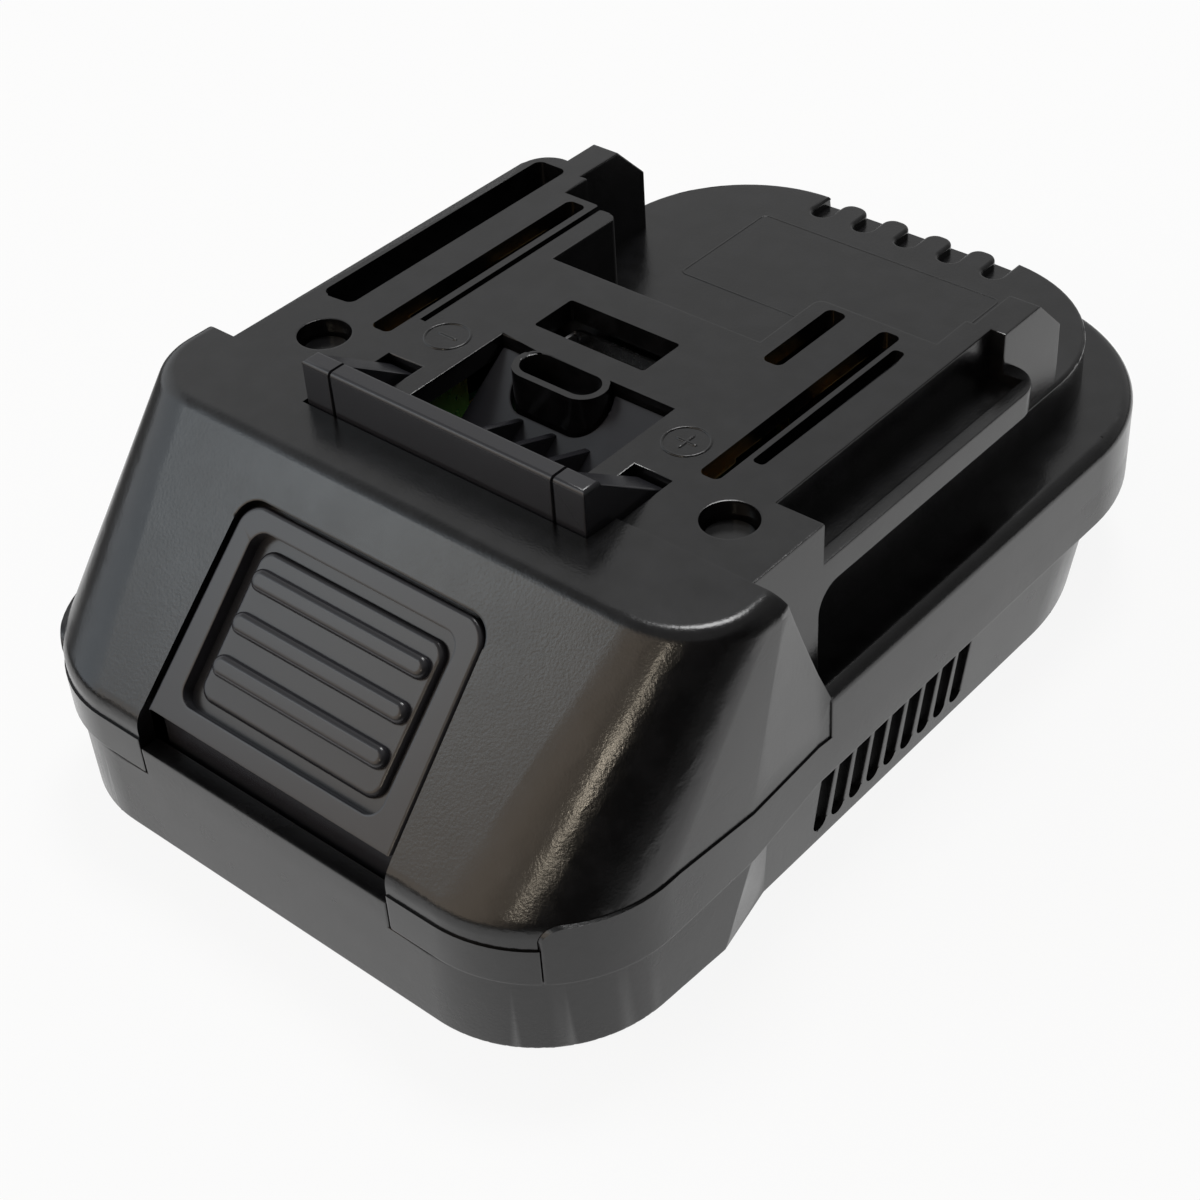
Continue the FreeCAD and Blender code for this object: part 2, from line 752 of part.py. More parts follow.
def make_lower_case():
    outer = lower_form(-case_depth)
    low_edges = [e for e in outer.Edges if all(abs(v.Z + case_depth) < 0.01 for v in e.Vertexes)]
    outer = outer.makeFillet(bottom_round, low_edges)
    band = band_solid(-band_depth, -parting_depth)
    skirt_room = box(-far, far, -far, seam_y + seam_gap, -far, 0)
    lip_half = window_foot_half_width - seam_gap
    skirt_room = skirt_room.cut(box(-lip_half, lip_half, -far, 0, -far, -lip_depth))
    outer = outer.fuse(band.cut(skirt_room))

    # Hollow inside, around the channel walls and the rear screw columns
    reach = channel_half_width + channel_wall
    inner = joined([lower_form(-case_depth + floor_thickness, wall),
                    band_solid(-band_depth, 0, wall)])
    tub = box(-reach, reach, battery_stop - channel_wall, far, -far, roof_top)
    columns = on_both_sides(cylinder(rear_screw_x, rear_screw_y, -far, roof_top, rear_column_radius))
    body = outer.cut(inner.cut(tub.fuse(columns)))

    # What rises above the parting plane: the ceiling's rim, posts, columns and pins
    inside_rim = band_solid(-parting_depth - 0.5, 0, wall + 0.15)
    raised = [
        rising_rim(seam_y + seam_gap, 0.0),
        box(-reach, reach, battery_stop - channel_wall, rear_reach, -parting_depth - 0.5, roof_top)
        .common(inside_rim),
        on_both_sides(cylinder(deck_screw_x, 0, roof_top - 0.5, -boss_meet_depth, post_radius)),
        on_both_sides(cylinder(rear_screw_x, rear_screw_y, -parting_depth - 0.5, roof_top,
                               rear_column_radius).common(inside_rim)),
        on_both_sides(cylinder(board_screw_x, board_screw_y, roof_top - 0.5, roof_top + board_lift,
                               board_post_radius)),
        on_both_sides(cylinder(board_screw_x, board_front + 4, roof_top - 0.5, roof_top + board_lift,
                               board_post_radius)),
        on_both_sides(cylinder(spring_x, spring_y, roof_top - 0.5, roof_top + spring_pin_height,
                               spring_pin_radius)),
    ]
    body = body.multiFuse(raised)
    void = box(-channel_half_width, channel_half_width, battery_stop, far, -far, -battery_ceiling)
    body = body.cut(void)
    rail = box(channel_half_width - battery_rail_reach, channel_half_width + 0.5, battery_rail_front,
               rear_reach, -case_depth, -case_depth + battery_rail_height)
    catch = box(channel_half_width - battery_rail_reach - 1, channel_half_width, battery_catch_front,
                battery_catch_front + battery_catch_length, -case_depth - 1, -case_depth + battery_rail_height + 1)
    rail = rail.cut(catch).common(outer)
    body = body.fuse(on_both_sides(rail))

    # Vents, holes for screws and the slot that the blades rise through
    vents = [vent(vent_first + i * vent_pitch) for i in range(vent_count)]
    vents = vents[0].multiFuse(vents[1:])
    pilot = screw_shank_radius + pilot_clearance
    holes = [
        on_both_sides(vents),
        on_both_sides(cylinder(deck_screw_x, 0, -battery_ceiling + 0.6, 0, pilot)),
        on_both_sides(cylinder(rear_screw_x, rear_screw_y, -case_depth - 1,
                               -case_depth + rear_seat_height, rear_head_radius + screw_hole_clearance)),
        on_both_sides(cylinder(rear_screw_x, rear_screw_y, -case_depth - 1, 0,
                               screw_shank_radius + screw_hole_clearance)),
        on_both_sides(cylinder(board_screw_x, board_screw_y, roof_top - 1, 0,
                               board_screw_radius + pilot_clearance)),
    ]
    for x in blade_places():
        holes.append(box(x - blade_tail_width / 2 - 0.2, x + blade_tail_width / 2 + 0.2,
                         block_middle() - blade_thickness / 2 - 0.2,
                         block_middle() + blade_thickness / 2 + 0.2, -battery_ceiling - 1, roof_top + 1))
    return tidied(body.cut(holes[0].multiFuse(holes[1:])))


def block_middle():
    return battery_stop + terminal_block_length / 2


def blade_places():
    return [-blade_x, -signal_blade_x, signal_blade_x, blade_x]


def make_latch_slider():
    back = bar_front + bar_thickness
    floor = -ramp_floor_depth
    bar = box(-bar_half_width, bar_half_width, bar_front, back, floor - web_thickness, bar_top)
    edges = [e for e in bar.Edges if e.CenterOfMass.z > bar_top - 0.01]
    bar = bar.makeFillet(bar_edge_round, edges)
    for sign in (-1, 1):
        x = sign * bar_groove_x
        bar = bar.cut(box(x - bar_groove / 2, x + bar_groove / 2, bar_front - 1, bar_front + bar_groove,
                          -2, bar_top + 1))
        bar = bar.cut(box(x - bar_groove / 2, x + bar_groove / 2, bar_front - 1, back + 1,
                          bar_top - bar_groove, bar_top + 1))
    lug = side_profile([(back - 0.5, bar_top - 0.2), (lug_tip_y, -lug_tip_depth),
                        (lug_tip_y, -lug_tip_depth - 2.0), (back - 0.5, -lug_tip_depth - 6.0)],
                       bar_groove_x + bar_groove / 2, bar_half_width)

    # Ramp with its level foot, and the fins that brace the bar
    half = pocket_half_width - latch_gap
    rear = pocket_rear - latch_gap
    ramp_foot_y = rear - (ramp_floor_depth - ramp_rear_depth) / ramp_slope
    drop = ramp_thickness * math.sqrt(1 + ramp_slope ** 2)
    ramp = side_profile([(rear, -ramp_rear_depth), (rear, -ramp_rear_depth - drop),
                         (ramp_foot_y, floor - drop), (back - 0.5, floor - drop), (back - 0.5, floor),
                         (ramp_foot_y, floor)], -half, half)
    clear = obround(boss_x, boss_y, boss_length + 2 * latch_gap, boss_width + 2 * latch_gap, -far, far)
    ramp = ramp.cut(clear)
    ramp = ramp.cut(box(boss_x - boss_length / 2 - latch_gap + boss_width / 2,
                        boss_x + boss_length / 2 + latch_gap - boss_width / 2, boss_y, far, -far, far))
    fins = []
    for i in range(fin_count):
        x = (i - (fin_count - 1) / 2) * fin_pitch
        tip_z = -ramp_rear_depth - (rear - fin_tip_y) * ramp_slope
        fins.append(side_profile([(back - 0.5, -fin_top_depth), (fin_tip_y, tip_z), (ramp_foot_y, floor - 0.5),
                                  (back - 0.5, floor - 0.5)], x - fin_width / 2, x + fin_width / 2))
    fins = fins[0].multiFuse(fins[1:]).cut(clear)

    # Button: a pad in the window on a wider flange behind it
    pad_low = -nose_shell - 0.15
    pad = window_solid(-latch_gap, pad_low - 0.1, -button_recess, pad_edge_round)
    side = window_foot_half_width + flange_margin
    top = up_slope(window_top_depth) + flange_margin
    flange = on_slope(Part.makeBox(2 * side, top, button_flange, Vector(-side, 0, pad_low - button_flange)))
    button = joined([pad, flange])
    below = box(-far, far, -far, far, -far, -button_foot_depth)
    button = button.cut(below)
    button = button.cut(button_panel())
    button = button.fuse(button_ribs())
    behind = nose_shell + 0.15 + button_flange / 2
    web_low = floor - web_thickness
    web = side_profile([(slope_y(web_low, behind), web_low), (slope_y(floor, behind), floor),
                        (bar_front + 0.5, floor), (bar_front + 0.5, web_low)],
                       -window_top_half_width, window_top_half_width)
    skirt_half = window_foot_half_width - 2 * latch_gap
    skirt = box(-skirt_half, skirt_half, skirt_front, skirt_front + skirt_thickness, skirt_foot,
                -button_foot_depth + 0.2)
    pins = on_both_sides(cylinder(spring_x, spring_y, floor - web_thickness - spring_pin_height,
                                  floor - web_thickness + 0.5, spring_pin_radius))
    return joined([bar, on_both_sides(lug), ramp, fins, button, skirt, web, pins])


def button_panel():
    """Recess in the button, inside its raised frame."""
    foot = up_slope(button_foot_depth) + panel_front_margin
    top = up_slope(window_top_depth) - latch_gap - panel_rear_margin
    floor = -button_recess - panel_depth
    recess = rounded_box(-panel_half_width, panel_half_width, foot, top, floor, 2, panel_corner_round)
    margin = pillow_margin
    pillow = rounded_box(-panel_half_width + margin, panel_half_width - margin, foot + margin, top - margin,
                         floor - 1, floor + pillow_height, panel_corner_round)
    rim = [e for e in pillow.Edges if all(abs(v.Z - floor - pillow_height) < 0.01 for v in e.Vertexes)]
    return on_slope(recess.cut(pillow.makeFillet(pillow_height * 0.8, rim)))


def button_ribs():
    """Round-backed ribs across the recess."""
    ribs = []
    for i in range(rib_count):
        y = rib_first + i * rib_pitch
        low = -button_recess - panel_depth + pillow_height - 0.2
        rib = obround(0, y, 2 * rib_half_length, rib_width, low, low + 0.2 + rib_height)
        top = [e for e in rib.Edges if all(abs(v.Z - low - 0.2 - rib_height) < 0.01 for v in e.Vertexes)]
        ribs.append(rib.makeFillet(min(rib_height * 0.8, rib_width * 0.35), top))
    return on_slope(ribs[0].multiFuse(ribs[1:]))


def make_spring(side):
    """Compression spring: one unbroken coil with closed ends standing on its seat."""
    low = roof_top
    high = -ramp_floor_depth - web_thickness
    radius = (spring_diameter - spring_wire) / 2
    start_z = low + spring_wire / 2 + 0.05
    rise = (high - low) - spring_wire - 0.1
    quarters = spring_turns * 4
    edges = []

    def at(turn_quarter):
        angle = turn_quarter * math.pi / 2
        share = turn_quarter / quarters
        return Vector(radius * math.cos(angle), radius * math.sin(angle), start_z + rise * share)

    for i in range(quarters):
        edges.append(Part.Arc(at(i), at(i + 0.5), at(i + 1)).toShape())
    path = Part.Wire(edges)
    ring = Part.Wire(Part.Circle(at(0), Vector(0, 1, 0), spring_wire / 2).toShape())
    pipe = path.makePipeShell([ring], True, False)
    if not pipe.isValid():
        print("spring pipe is not valid")
    pipe.translate(Vector(side * spring_x, spring_y, 0))
    return pipe


def make_screw(seat_z, shank_end_z, x, y):
    """Pan-head screw, its head above seat_z, or below it where the shank points up."""
    up = shank_end_z > seat_z
    sign = -1 if up else 1
    head_end = seat_z + sign * screw_head_height
    head = cylinder(x, y, min(seat_z, head_end), max(seat_z, head_end), screw_head_radius)
    rim = [e for e in head.Edges if abs(e.CenterOfMass.z - head_end) < 0.01 and e.Length > 5]
    head = head.makeFillet(screw_head_height * 0.4, rim)
    shank = cylinder(x, y, min(seat_z, shank_end_z), max(seat_z, shank_end_z), screw_shank_radius)
    drive_low = head_end - sign * screw_drive_depth
    drive = box(x - screw_drive_radius, x + screw_drive_radius, y - 0.3, y + 0.3,
                min(drive_low, head_end), max(drive_low, head_end))
    cross = drive.copy()
    cross.rotate(Vector(x, y, 0), Vector(0, 0, 1), 90)
    return tidied(head.fuse(shank).cut(drive.fuse(cross)))


def make_deck_screws():
    return on_both_sides(make_screw(-screw_seat_depth, -battery_ceiling + 1.0, deck_screw_x, 0))


def make_rear_screws():
    return on_both_sides(make_screw(-case_depth + rear_seat_height, -flange_depth - rear_shank_end, rear_screw_x,
                                    rear_screw_y))


def make_screw_plugs():
    radius = well_radius - plug_play
    plug = cylinder(deck_screw_x, 0, -plug_top - plug_thickness, -plug_top, radius)
    rim = [e for e in plug.Edges if abs(e.CenterOfMass.z + plug_top) < 0.01 and e.Length > radius]
    return on_both_sides(plug.makeChamfer(plug_edge, rim))


def make_main_board():
    z0, z1 = board_top - board_thickness, board_top
    board = rounded_box(-board_half_width, board_half_width, board_front, board_rear, z0, z1, 6.0)
    arm = box(board_arm_inner, board_half_width, board_arm_front, board_front + 8, z0, z1)
    board = joined([board, on_both_sides(arm)])
    hole = board_screw_radius + screw_hole_clearance
    board = board.cut(on_both_sides(cylinder(board_screw_x, board_screw_y, z0 - 1, z1 + 1, hole)))
    return tidied(board)


def make_board_screws():
    shank = cylinder(board_screw_x, board_screw_y, roof_top - 0.5, board_top, board_screw_radius)
    head = cylinder(board_screw_x, board_screw_y, board_top, board_top + board_screw_head_height,
                    board_screw_head)
    slot = box(board_screw_x - 1.2, board_screw_x + 1.2, board_screw_y - 0.25, board_screw_y + 0.25,
               board_top + board_screw_head_height - 0.6, board_top + board_screw_head_height)
    return on_both_sides(tidied(shank.fuse(head).cut(slot)))


def leaf_pair(x, y, length, top):
    """Two spring leaves with a gap for the tool's blade, flared at the mouth."""
    inner = leaf_gap / 2
    outer = inner + leaf_thickness
    right = face_of([Vector(inner, y, board_top), Vector(outer, y, board_top),
                     Vector(outer, y, top - 1.6), Vector(outer - 0.15, y, top - 0.8),
                     Vector(outer + 0.1, y, top), Vector(outer - 0.35, y, top),
                     Vector(inner - 0.15, y, top - 0.9), Vector(inner, y, top - 1.9)]).extrude(
        Vector(0, length, 0))
    pair = on_both_sides(right)
    pair.translate(Vector(x, 0, 0))
    return pair


def make_tool_terminal(x):
    """Fork terminal: a base strip on the board with two pairs of leaves."""
    outer = leaf_gap / 2 + leaf_thickness
    base = box(x - outer, x + outer, leaf_first_y, leaf_second_y + leaf_length, board_top,
               board_top + leaf_foot)
    return joined([base, leaf_pair(x, leaf_first_y, leaf_length, -leaf_top),
                   leaf_pair(x, leaf_second_y, leaf_length, -leaf_top)])


def make_signal_contact():
    y = (signal_slot_front + signal_slot_rear - signal_leaf_length) / 2
    outer = leaf_gap / 2 + leaf_thickness
    base = box(signal_slot_x - outer, signal_slot_x + outer, y, y + signal_leaf_length, board_top,
               board_top + leaf_foot)
    return joined([base, leaf_pair(signal_slot_x, y, signal_leaf_length, -leaf_top)])


def make_usb_shell():
    half_x, half_y = usb_shell_width / 2, usb_shell_thick / 2
    w = usb_shell_wall
    outer = rounded_box(usb_x - half_x, usb_x + half_x, usb_y - half_y, usb_y + half_y, board_top,
                        -usb_shell_top, 0.8)
    inner = rounded_box(usb_x - half_x + w, usb_x + half_x - w, usb_y - half_y + w, usb_y + half_y - w,
                        board_top - 1, 1, 0.4)
    return outer.cut(inner)


def tongue_front():
    return usb_y + usb_shell_thick / 2 - usb_shell_wall - 0.5 - usb_tongue_thick


def make_usb_tongue():
    half = usb_tongue_width / 2
    front = tongue_front()
    tongue = box(usb_x - half, usb_x + half, front, front + usb_tongue_thick, board_top + 1,
                 -usb_tongue_top)
    inner_x = usb_shell_width / 2 - usb_shell_wall - usb_tongue_play
    inner_y = usb_shell_thick / 2 - usb_shell_wall - usb_tongue_play
    base = rounded_box(usb_x - inner_x, usb_x + inner_x, usb_y - inner_y, usb_y + inner_y, board_top,
                       board_top + usb_base_height, usb_base_round)
    tongue = joined([tongue, base])
    return tongue.cut(usb_contact_bars(0.02))


def usb_contact_bars(play):
    bars = []
    front = tongue_front()
    for i in range(usb_contact_count):
        x = usb_x + (i - (usb_contact_count - 1) / 2) * usb_contact_pitch
        bars.append(box(x - usb_contact_width / 2 - play, x + usb_contact_width / 2 + play,
                        front - usb_contact_thick / 2 - play, front + usb_contact_thick / 2 + play,
                        board_top + usb_base_height - play, -usb_tongue_top - 0.6 + play))
    return bars[0].multiFuse(bars[1:])


def make_converter_inductor():
    h = inductor_size / 2
    core = rounded_box(inductor_x - h, inductor_x + h, inductor_y - h, inductor_y + h, board_top,
                       board_top + inductor_height, 1.2)
    pot = cylinder(inductor_x, inductor_y, board_top + inductor_height - 0.4, board_top + inductor_height + 1,
                   h * 0.8)
    return core.cut(pot.cut(cylinder(inductor_x, inductor_y, -far, 0, h * 0.55)))


def make_filter_capacitor():
    can = cylinder(capacitor_x, capacitor_y, board_top + 0.5, board_top + capacitor_height, capacitor_radius)
    rim = [e for e in can.Edges if e.Length > 5]
    can = can.makeFillet(0.5, rim)
    groove = cylinder(capacitor_x, capacitor_y, board_top + 1.6, board_top + 2.2, capacitor_radius + 1).cut(
        cylinder(capacitor_x, capacitor_y, -far, 0, capacitor_radius - 0.3))
    base = cylinder(capacitor_x, capacitor_y, board_top, board_top + 0.6, capacitor_radius - 0.3)
    return tidied(can.cut(groove).fuse(base))


def make_converter_chip():
    body = box(chip_x - chip_width / 2, chip_x + chip_width / 2, chip_y - chip_length / 2,
               chip_y + chip_length / 2, board_top + 0.1, board_top + chip_height)
    legs = []
    for i in range(4):
        x = chip_x + (i - 1.5) * 1.27
        legs.append(box(x - 0.2, x + 0.2, chip_y - chip_length / 2 - 1, chip_y + chip_length / 2 + 1,
                        board_top, board_top + 0.25))
    return joined([body] + legs)


def make_battery_block():
    y0, y1 = battery_stop, battery_stop + terminal_block_length
    top = -battery_ceiling
    block = box(-terminal_block_half_width, terminal_block_half_width, y0, y1, top - terminal_block_height,
                top)
    low = [e for e in block.Edges if e.CenterOfMass.z < top - terminal_block_height + 0.01]
    block = block.makeChamfer(1.0, low)
    return block.cut(blade_group(blade_places(), 0.03))


def blade_group(places, play):
    """L-shaped blades: an upright tail through the ceiling, and a blade that points rearward."""
    blades = []
    mid = block_middle()
    top = -battery_ceiling
    for x in places:
        tail = box(x - blade_tail_width / 2 - play, x + blade_tail_width / 2 + play,
                   mid - blade_thickness / 2 - play, mid + blade_thickness / 2 + play,
                   top - terminal_block_height / 2 - play, roof_top + blade_tail_rise)
        blade = box(x - blade_thickness / 2 - play, x + blade_thickness / 2 + play,
                    mid - blade_thickness / 2 - play, battery_stop + terminal_block_length + blade_reach,
                    top - terminal_block_height / 2 - blade_height / 2 - play,
                    top - terminal_block_height / 2 + blade_height / 2 + play)
        blades.append(joined([tail, blade]))
    return blades[0].multiFuse(blades[1:]) if len(blades) > 1 else blades[0]


def wire_tube(points, diameter):
    """Insulated wire: straight runs joined by tangent arcs, each arc as large as its runs allow."""
    edges = []
    last = points[0]
    for i in range(1, len(points) - 1):
        before = points[i] - points[i - 1]
        after = points[i + 1] - points[i]
        turn = before.getAngle(after)
        reach = 0.45 * min(before.Length, after.Length)
        before_unit = Vector(before).normalize()
        after_unit = Vector(after).normalize()
        start = points[i] - before_unit * reach
        end = points[i] + after_unit * reach
        radius = reach / math.tan(turn / 2)
        inward = (after_unit - before_unit).normalize()
        centre = points[i] + inward * (radius / math.cos(turn / 2))
        middle = centre - inward * radius
        edges.append(Part.LineSegment(last, start).toShape())
        edges.append(Part.Arc(start, middle, end).toShape())
        last = end
    edges.append(Part.LineSegment(last, points[-1]).toShape())
    path = Part.Wire(edges)
    direction = (points[1] - points[0]).normalize()
    ring = Part.Wire(Part.Circle(points[0], direction, diameter / 2).toShape())
    tube = path.makePipeShell([ring], True, False)
    expected = math.pi * diameter ** 2 / 4 * path.Length
    print("wire volume over section times length: %.4f" % (tube.Volume / expected))
    return tube


def make_power_wire(side):
    """From a power blade's tail back to the pad at the end of the board's arm."""
    r = power_wire_diameter / 2
    z = roof_top + r + power_wire_lift
    start = Vector(side * blade_x, block_middle() + blade_thickness / 2, z)
    pad = Vector(side * (board_arm_inner + power_pad_inset), board_arm_front, board_top - board_thickness / 2)
    points = [start, start + Vector(0, power_wire_lead, 0), Vector(pad.x, pad.y - power_wire_tail, pad.z),
              pad]
    return wire_tube(points, power_wire_diameter)


def make_signal_wires():
    r = signal_wire_diameter / 2
    z = roof_top + r + signal_wire_lift
    tubes = []
    for side in (-1, 1):
        start = Vector(side * signal_blade_x, block_middle() + blade_thickness / 2, z)
        pad = Vector(side * (signal_blade_x + signal_pad_shift), board_front,
                     board_top - board_thickness / 2)
        points = [start, start + Vector(0, signal_wire_lead, 0),
                  Vector(pad.x, pad.y - signal_wire_tail, pad.z), pad]
        tubes.append(wire_tube(points, signal_wire_diameter))
    return tubes[0].fuse(tubes[1])


def build():
    """Every piece by name, moved so that the origin is the middle of the underside."""
    pieces = {
        "top_cover": make_top_cover(),
        "lower_case": make_lower_case(),
        "latch_slider": make_latch_slider(),
        "latch_spring_left": make_spring(-1),
        "latch_spring_right": make_spring(1),
        "screw_plugs": make_screw_plugs(),
        "deck_screws": make_deck_screws(),
        "rear_screws": make_rear_screws(),
        "main_board": make_main_board(),
        "board_screws": make_board_screws(),
        "tool_terminal_negative": make_tool_terminal(-main_slot_x),
        "tool_terminal_positive": make_tool_terminal(right_slot_x),
        "signal_contact": make_signal_contact(),
        "usb_shell": make_usb_shell(),
        "usb_tongue": make_usb_tongue(),
        "usb_contacts": usb_contact_bars(0.0),
        "converter_inductor": make_converter_inductor(),
        "filter_capacitor": make_filter_capacitor(),
        "converter_chip": make_converter_chip(),
        "battery_block": make_battery_block(),
        "battery_blade_positive": blade_group([blade_x], 0.0),
        "battery_blade_negative": blade_group([-blade_x], 0.0),
        "battery_signal_blades": blade_group([-signal_blade_x, signal_blade_x], 0.0),
        "wire_positive": make_power_wire(1),
        "wire_negative": make_power_wire(-1),
        "signal_wires": make_signal_wires(),
    }
    move = Vector(0, (front_reach - rear_reach) / 2, case_depth)
    for shape in pieces.values():
        shape.translate(move)
    return pieces


os.makedirs("parts", exist_ok=True)
for name, shape in build().items():
    if not shape.isValid():
        print("not valid:", name)
    print("%-24s solids %d volume %.1f" % (name, len(shape.Solids), shape.Volume))
    shape.exportStep(os.path.join("parts", name + ".step"))
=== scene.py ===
"""Power tool battery adapter: finishes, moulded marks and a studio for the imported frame."""
import json
import math
import bmesh
import bpy
from bpy.props import FloatProperty, FloatVectorProperty, PointerProperty
from mathutils import Matrix, Vector
from mathutils.bvhtree import BVHTree


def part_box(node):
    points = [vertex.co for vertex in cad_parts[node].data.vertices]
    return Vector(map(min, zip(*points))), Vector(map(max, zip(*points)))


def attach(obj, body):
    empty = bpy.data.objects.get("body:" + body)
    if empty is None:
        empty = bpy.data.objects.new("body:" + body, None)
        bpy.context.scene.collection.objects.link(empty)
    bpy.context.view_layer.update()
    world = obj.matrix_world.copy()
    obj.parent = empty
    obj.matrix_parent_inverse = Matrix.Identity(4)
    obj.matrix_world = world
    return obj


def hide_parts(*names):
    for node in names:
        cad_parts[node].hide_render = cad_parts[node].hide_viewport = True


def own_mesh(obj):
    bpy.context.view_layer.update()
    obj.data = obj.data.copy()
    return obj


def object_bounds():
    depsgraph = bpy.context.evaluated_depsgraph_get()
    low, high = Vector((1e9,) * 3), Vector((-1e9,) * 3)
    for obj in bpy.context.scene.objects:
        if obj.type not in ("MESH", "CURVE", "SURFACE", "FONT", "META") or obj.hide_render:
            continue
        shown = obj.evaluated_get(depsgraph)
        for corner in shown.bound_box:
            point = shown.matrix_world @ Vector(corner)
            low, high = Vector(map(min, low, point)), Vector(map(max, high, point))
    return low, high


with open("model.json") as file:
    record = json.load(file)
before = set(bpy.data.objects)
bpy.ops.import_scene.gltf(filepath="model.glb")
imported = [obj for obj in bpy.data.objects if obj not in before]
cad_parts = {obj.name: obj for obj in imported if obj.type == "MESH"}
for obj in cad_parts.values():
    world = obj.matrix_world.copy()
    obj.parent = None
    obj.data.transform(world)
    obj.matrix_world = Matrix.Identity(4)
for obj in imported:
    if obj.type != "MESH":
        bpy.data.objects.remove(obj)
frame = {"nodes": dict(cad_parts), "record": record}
cad_low, cad_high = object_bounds()

bl_info = {
    "name": "Power tool battery adapter",
    "version": (1, 0, 0),
    "blender": (4, 5, 0),
    "location": "View3D > Sidebar > Adapter",
    "description": "Finishes the pieces of a power tool battery adapter and lights them in a plain studio",
    "category": "Object",
}

# Places taken from the frame, in metres: the deck's height and the line through the two deck screws
BAR_ABOVE_DECK = 0.0056
DECK_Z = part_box("latch_slider")[1].z - BAR_ABOVE_DECK
SCREW_LINE_Y = (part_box("deck_screws")[0].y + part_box("deck_screws")[1].y) / 2

# Depths below the deck, in metres
TERRACE_DEPTH = 0.012
SEAM_HIGH = 0.0205
SEAM_LOW = 0.0237

# Preparation of a moulded piece before its edges are rounded: metres and degrees
WELD_REACH = 0.000002
FLAT_TURN = 0.6
SHARP_TURN = 24.0

# Rounding of edges, lengths as shares of the easing
EASING_TRIES = 7
EASING_SEGMENTS = 2
EASING_PROFILE = 0.62
SHORTEST_EDGE = 0.6
SPARED_REACH = 3
CORNER_REACH = 2.2
SURFACE_REACH = 0.5
STRAY_REACH = 0.7
STRIP_WIDTH = 1e-7

# Moulded plastic: sizes of its patches in metres, and how its colour and gloss vary
FLOW_SIZE = 0.022
SMUDGE_SIZE = 0.009
EDGE_WEAR_AND_HIGHLIGHT_PATCH = 0.003
FLOW_SHADES = (0.86, 1.18)
# Rounded edges are made lighter by this factor: partly rubbed wear, partly a painted highlight along the
# edges
EDGE_WEAR_AND_HIGHLIGHT_SHADE = 4.2
SMUDGE_SATIN = (-0.02, 0.035)
PLASTIC_IOR = 1.54

# Raised marks: how far they are sunk into their face, and the sizes of their lines
SUNK = 0.00001
MARK_REACH = 0.56
MARK_WIDTH = 1.3
PANEL_CORNER = 0.0008
PANEL_CORNER_STEPS = 6
PANEL_LINE_WIDTH = 0.00028
PANEL_LINE_HEIGHT = 0.00006

# Lamps, in metres: where each stands, what it points at, its width and its tint
KEY_LAMP = ((-0.22, 0.46, 1.08), (0, 0, 0.02), 0.4, (1.0, 1.0, 1.0))
SKY_LAMP = ((-0.70, -0.72, 0.65), (0, -0.03, 0.02), 0.3, (0.90, 0.97, 1.0))
STREAK_LAMP = ((0.35, -0.97, 0.62), (0, -0.03, 0.02), 0.05, (1.0, 0.88, 0.70))

# Floor: its radius, and how it fades in reflections
FLOOR_RADIUS = 4.0
FLOOR_SIDES = 96
FLOOR_SHORTENED = 0.69
FLOOR_FADE = 1.45
FLOOR_FAR_LEVEL = 0.06

# Heights, as shares of the sky, between which the surroundings turn into the overhead level
OVERHEAD_HEIGHTS = (0.62, 0.82)

# Camera of the photograph: its axes, its place from the screw line on the deck, and its lens in pixels
CAMERA_ACROSS = (0.760503, 0.647219, -0.052368)
CAMERA_DOWN = (0.380456, -0.509496, -0.771795)
CAMERA_AHEAD = (-0.526201, 0.567029, -0.633711)
CAMERA_PLACE = (0.132038, -0.131592, 0.128948)
PHOTOGRAPH_PIXELS = 1200
FOCAL_PIXELS = 2280.91
SENSOR_WIDTH_MM = 36.0


def colour_property(name, text, default):
    return FloatVectorProperty(name=name, description=text, default=default, subtype="COLOR", size=3,
                               min=0.0, max=1.0)


class AdapterCaseFinish(bpy.types.PropertyGroup):
    """Colours and textures of the moulded pieces."""
    case_colour: colour_property("Case colour", "Plastic of the cover and the lower case",
                                 (0.0034, 0.0034, 0.0038))
    latch_colour: colour_property("Latch colour", "Plastic of the latch and its button",
                                  (0.0030, 0.0030, 0.0033))
    case_roughness: FloatProperty(name="Case roughness", description="Satin of the case plastic",
                                  default=0.20, min=0.05, max=1.0, subtype="FACTOR")
    latch_roughness: FloatProperty(name="Latch roughness", description="Satin of the latch plastic",
                                   default=0.20, min=0.05, max=1.0, subtype="FACTOR")
    grain_size: FloatProperty(name="Grain size", description="Width of the mould's fine spark texture",
                              default=0.00032, min=0.00005, max=0.002, unit="LENGTH", subtype="DISTANCE",
                              precision=5)
    grain_depth: FloatProperty(name="Grain depth", description="Height of the mould's fine texture",
                               default=0.000018, min=0.0, max=0.0002, unit="LENGTH", subtype="DISTANCE",
                               precision=6)
    edge_ease: FloatProperty(name="Edge easing", description="Radius on the moulded edges",
                             default=0.00026, min=0.00005, max=0.0006, unit="LENGTH", subtype="DISTANCE",
                             precision=5)


class AdapterMetalFinish(bpy.types.PropertyGroup):
    """Colours of the metal and electrical pieces."""
    steel_colour: colour_property("Steel colour", "Zinc-plated screws and springs", (0.50, 0.50, 0.52))
    brass_colour: colour_property("Brass colour", "Tool terminals and battery blades", (0.72, 0.50, 0.20))
    gold_colour: colour_property("Gold colour", "Plated contacts of the socket", (0.83, 0.60, 0.24))
    shell_colour: colour_property("Shell colour", "Folded shell of the socket", (0.56, 0.56, 0.57))
    laminate_colour: colour_property("Laminate colour", "Solder mask of the circuit board",
                                     (0.02, 0.11, 0.05))
    sleeve_colour: colour_property("Can colour", "Bare can of the capacitor", (0.60, 0.60, 0.62))


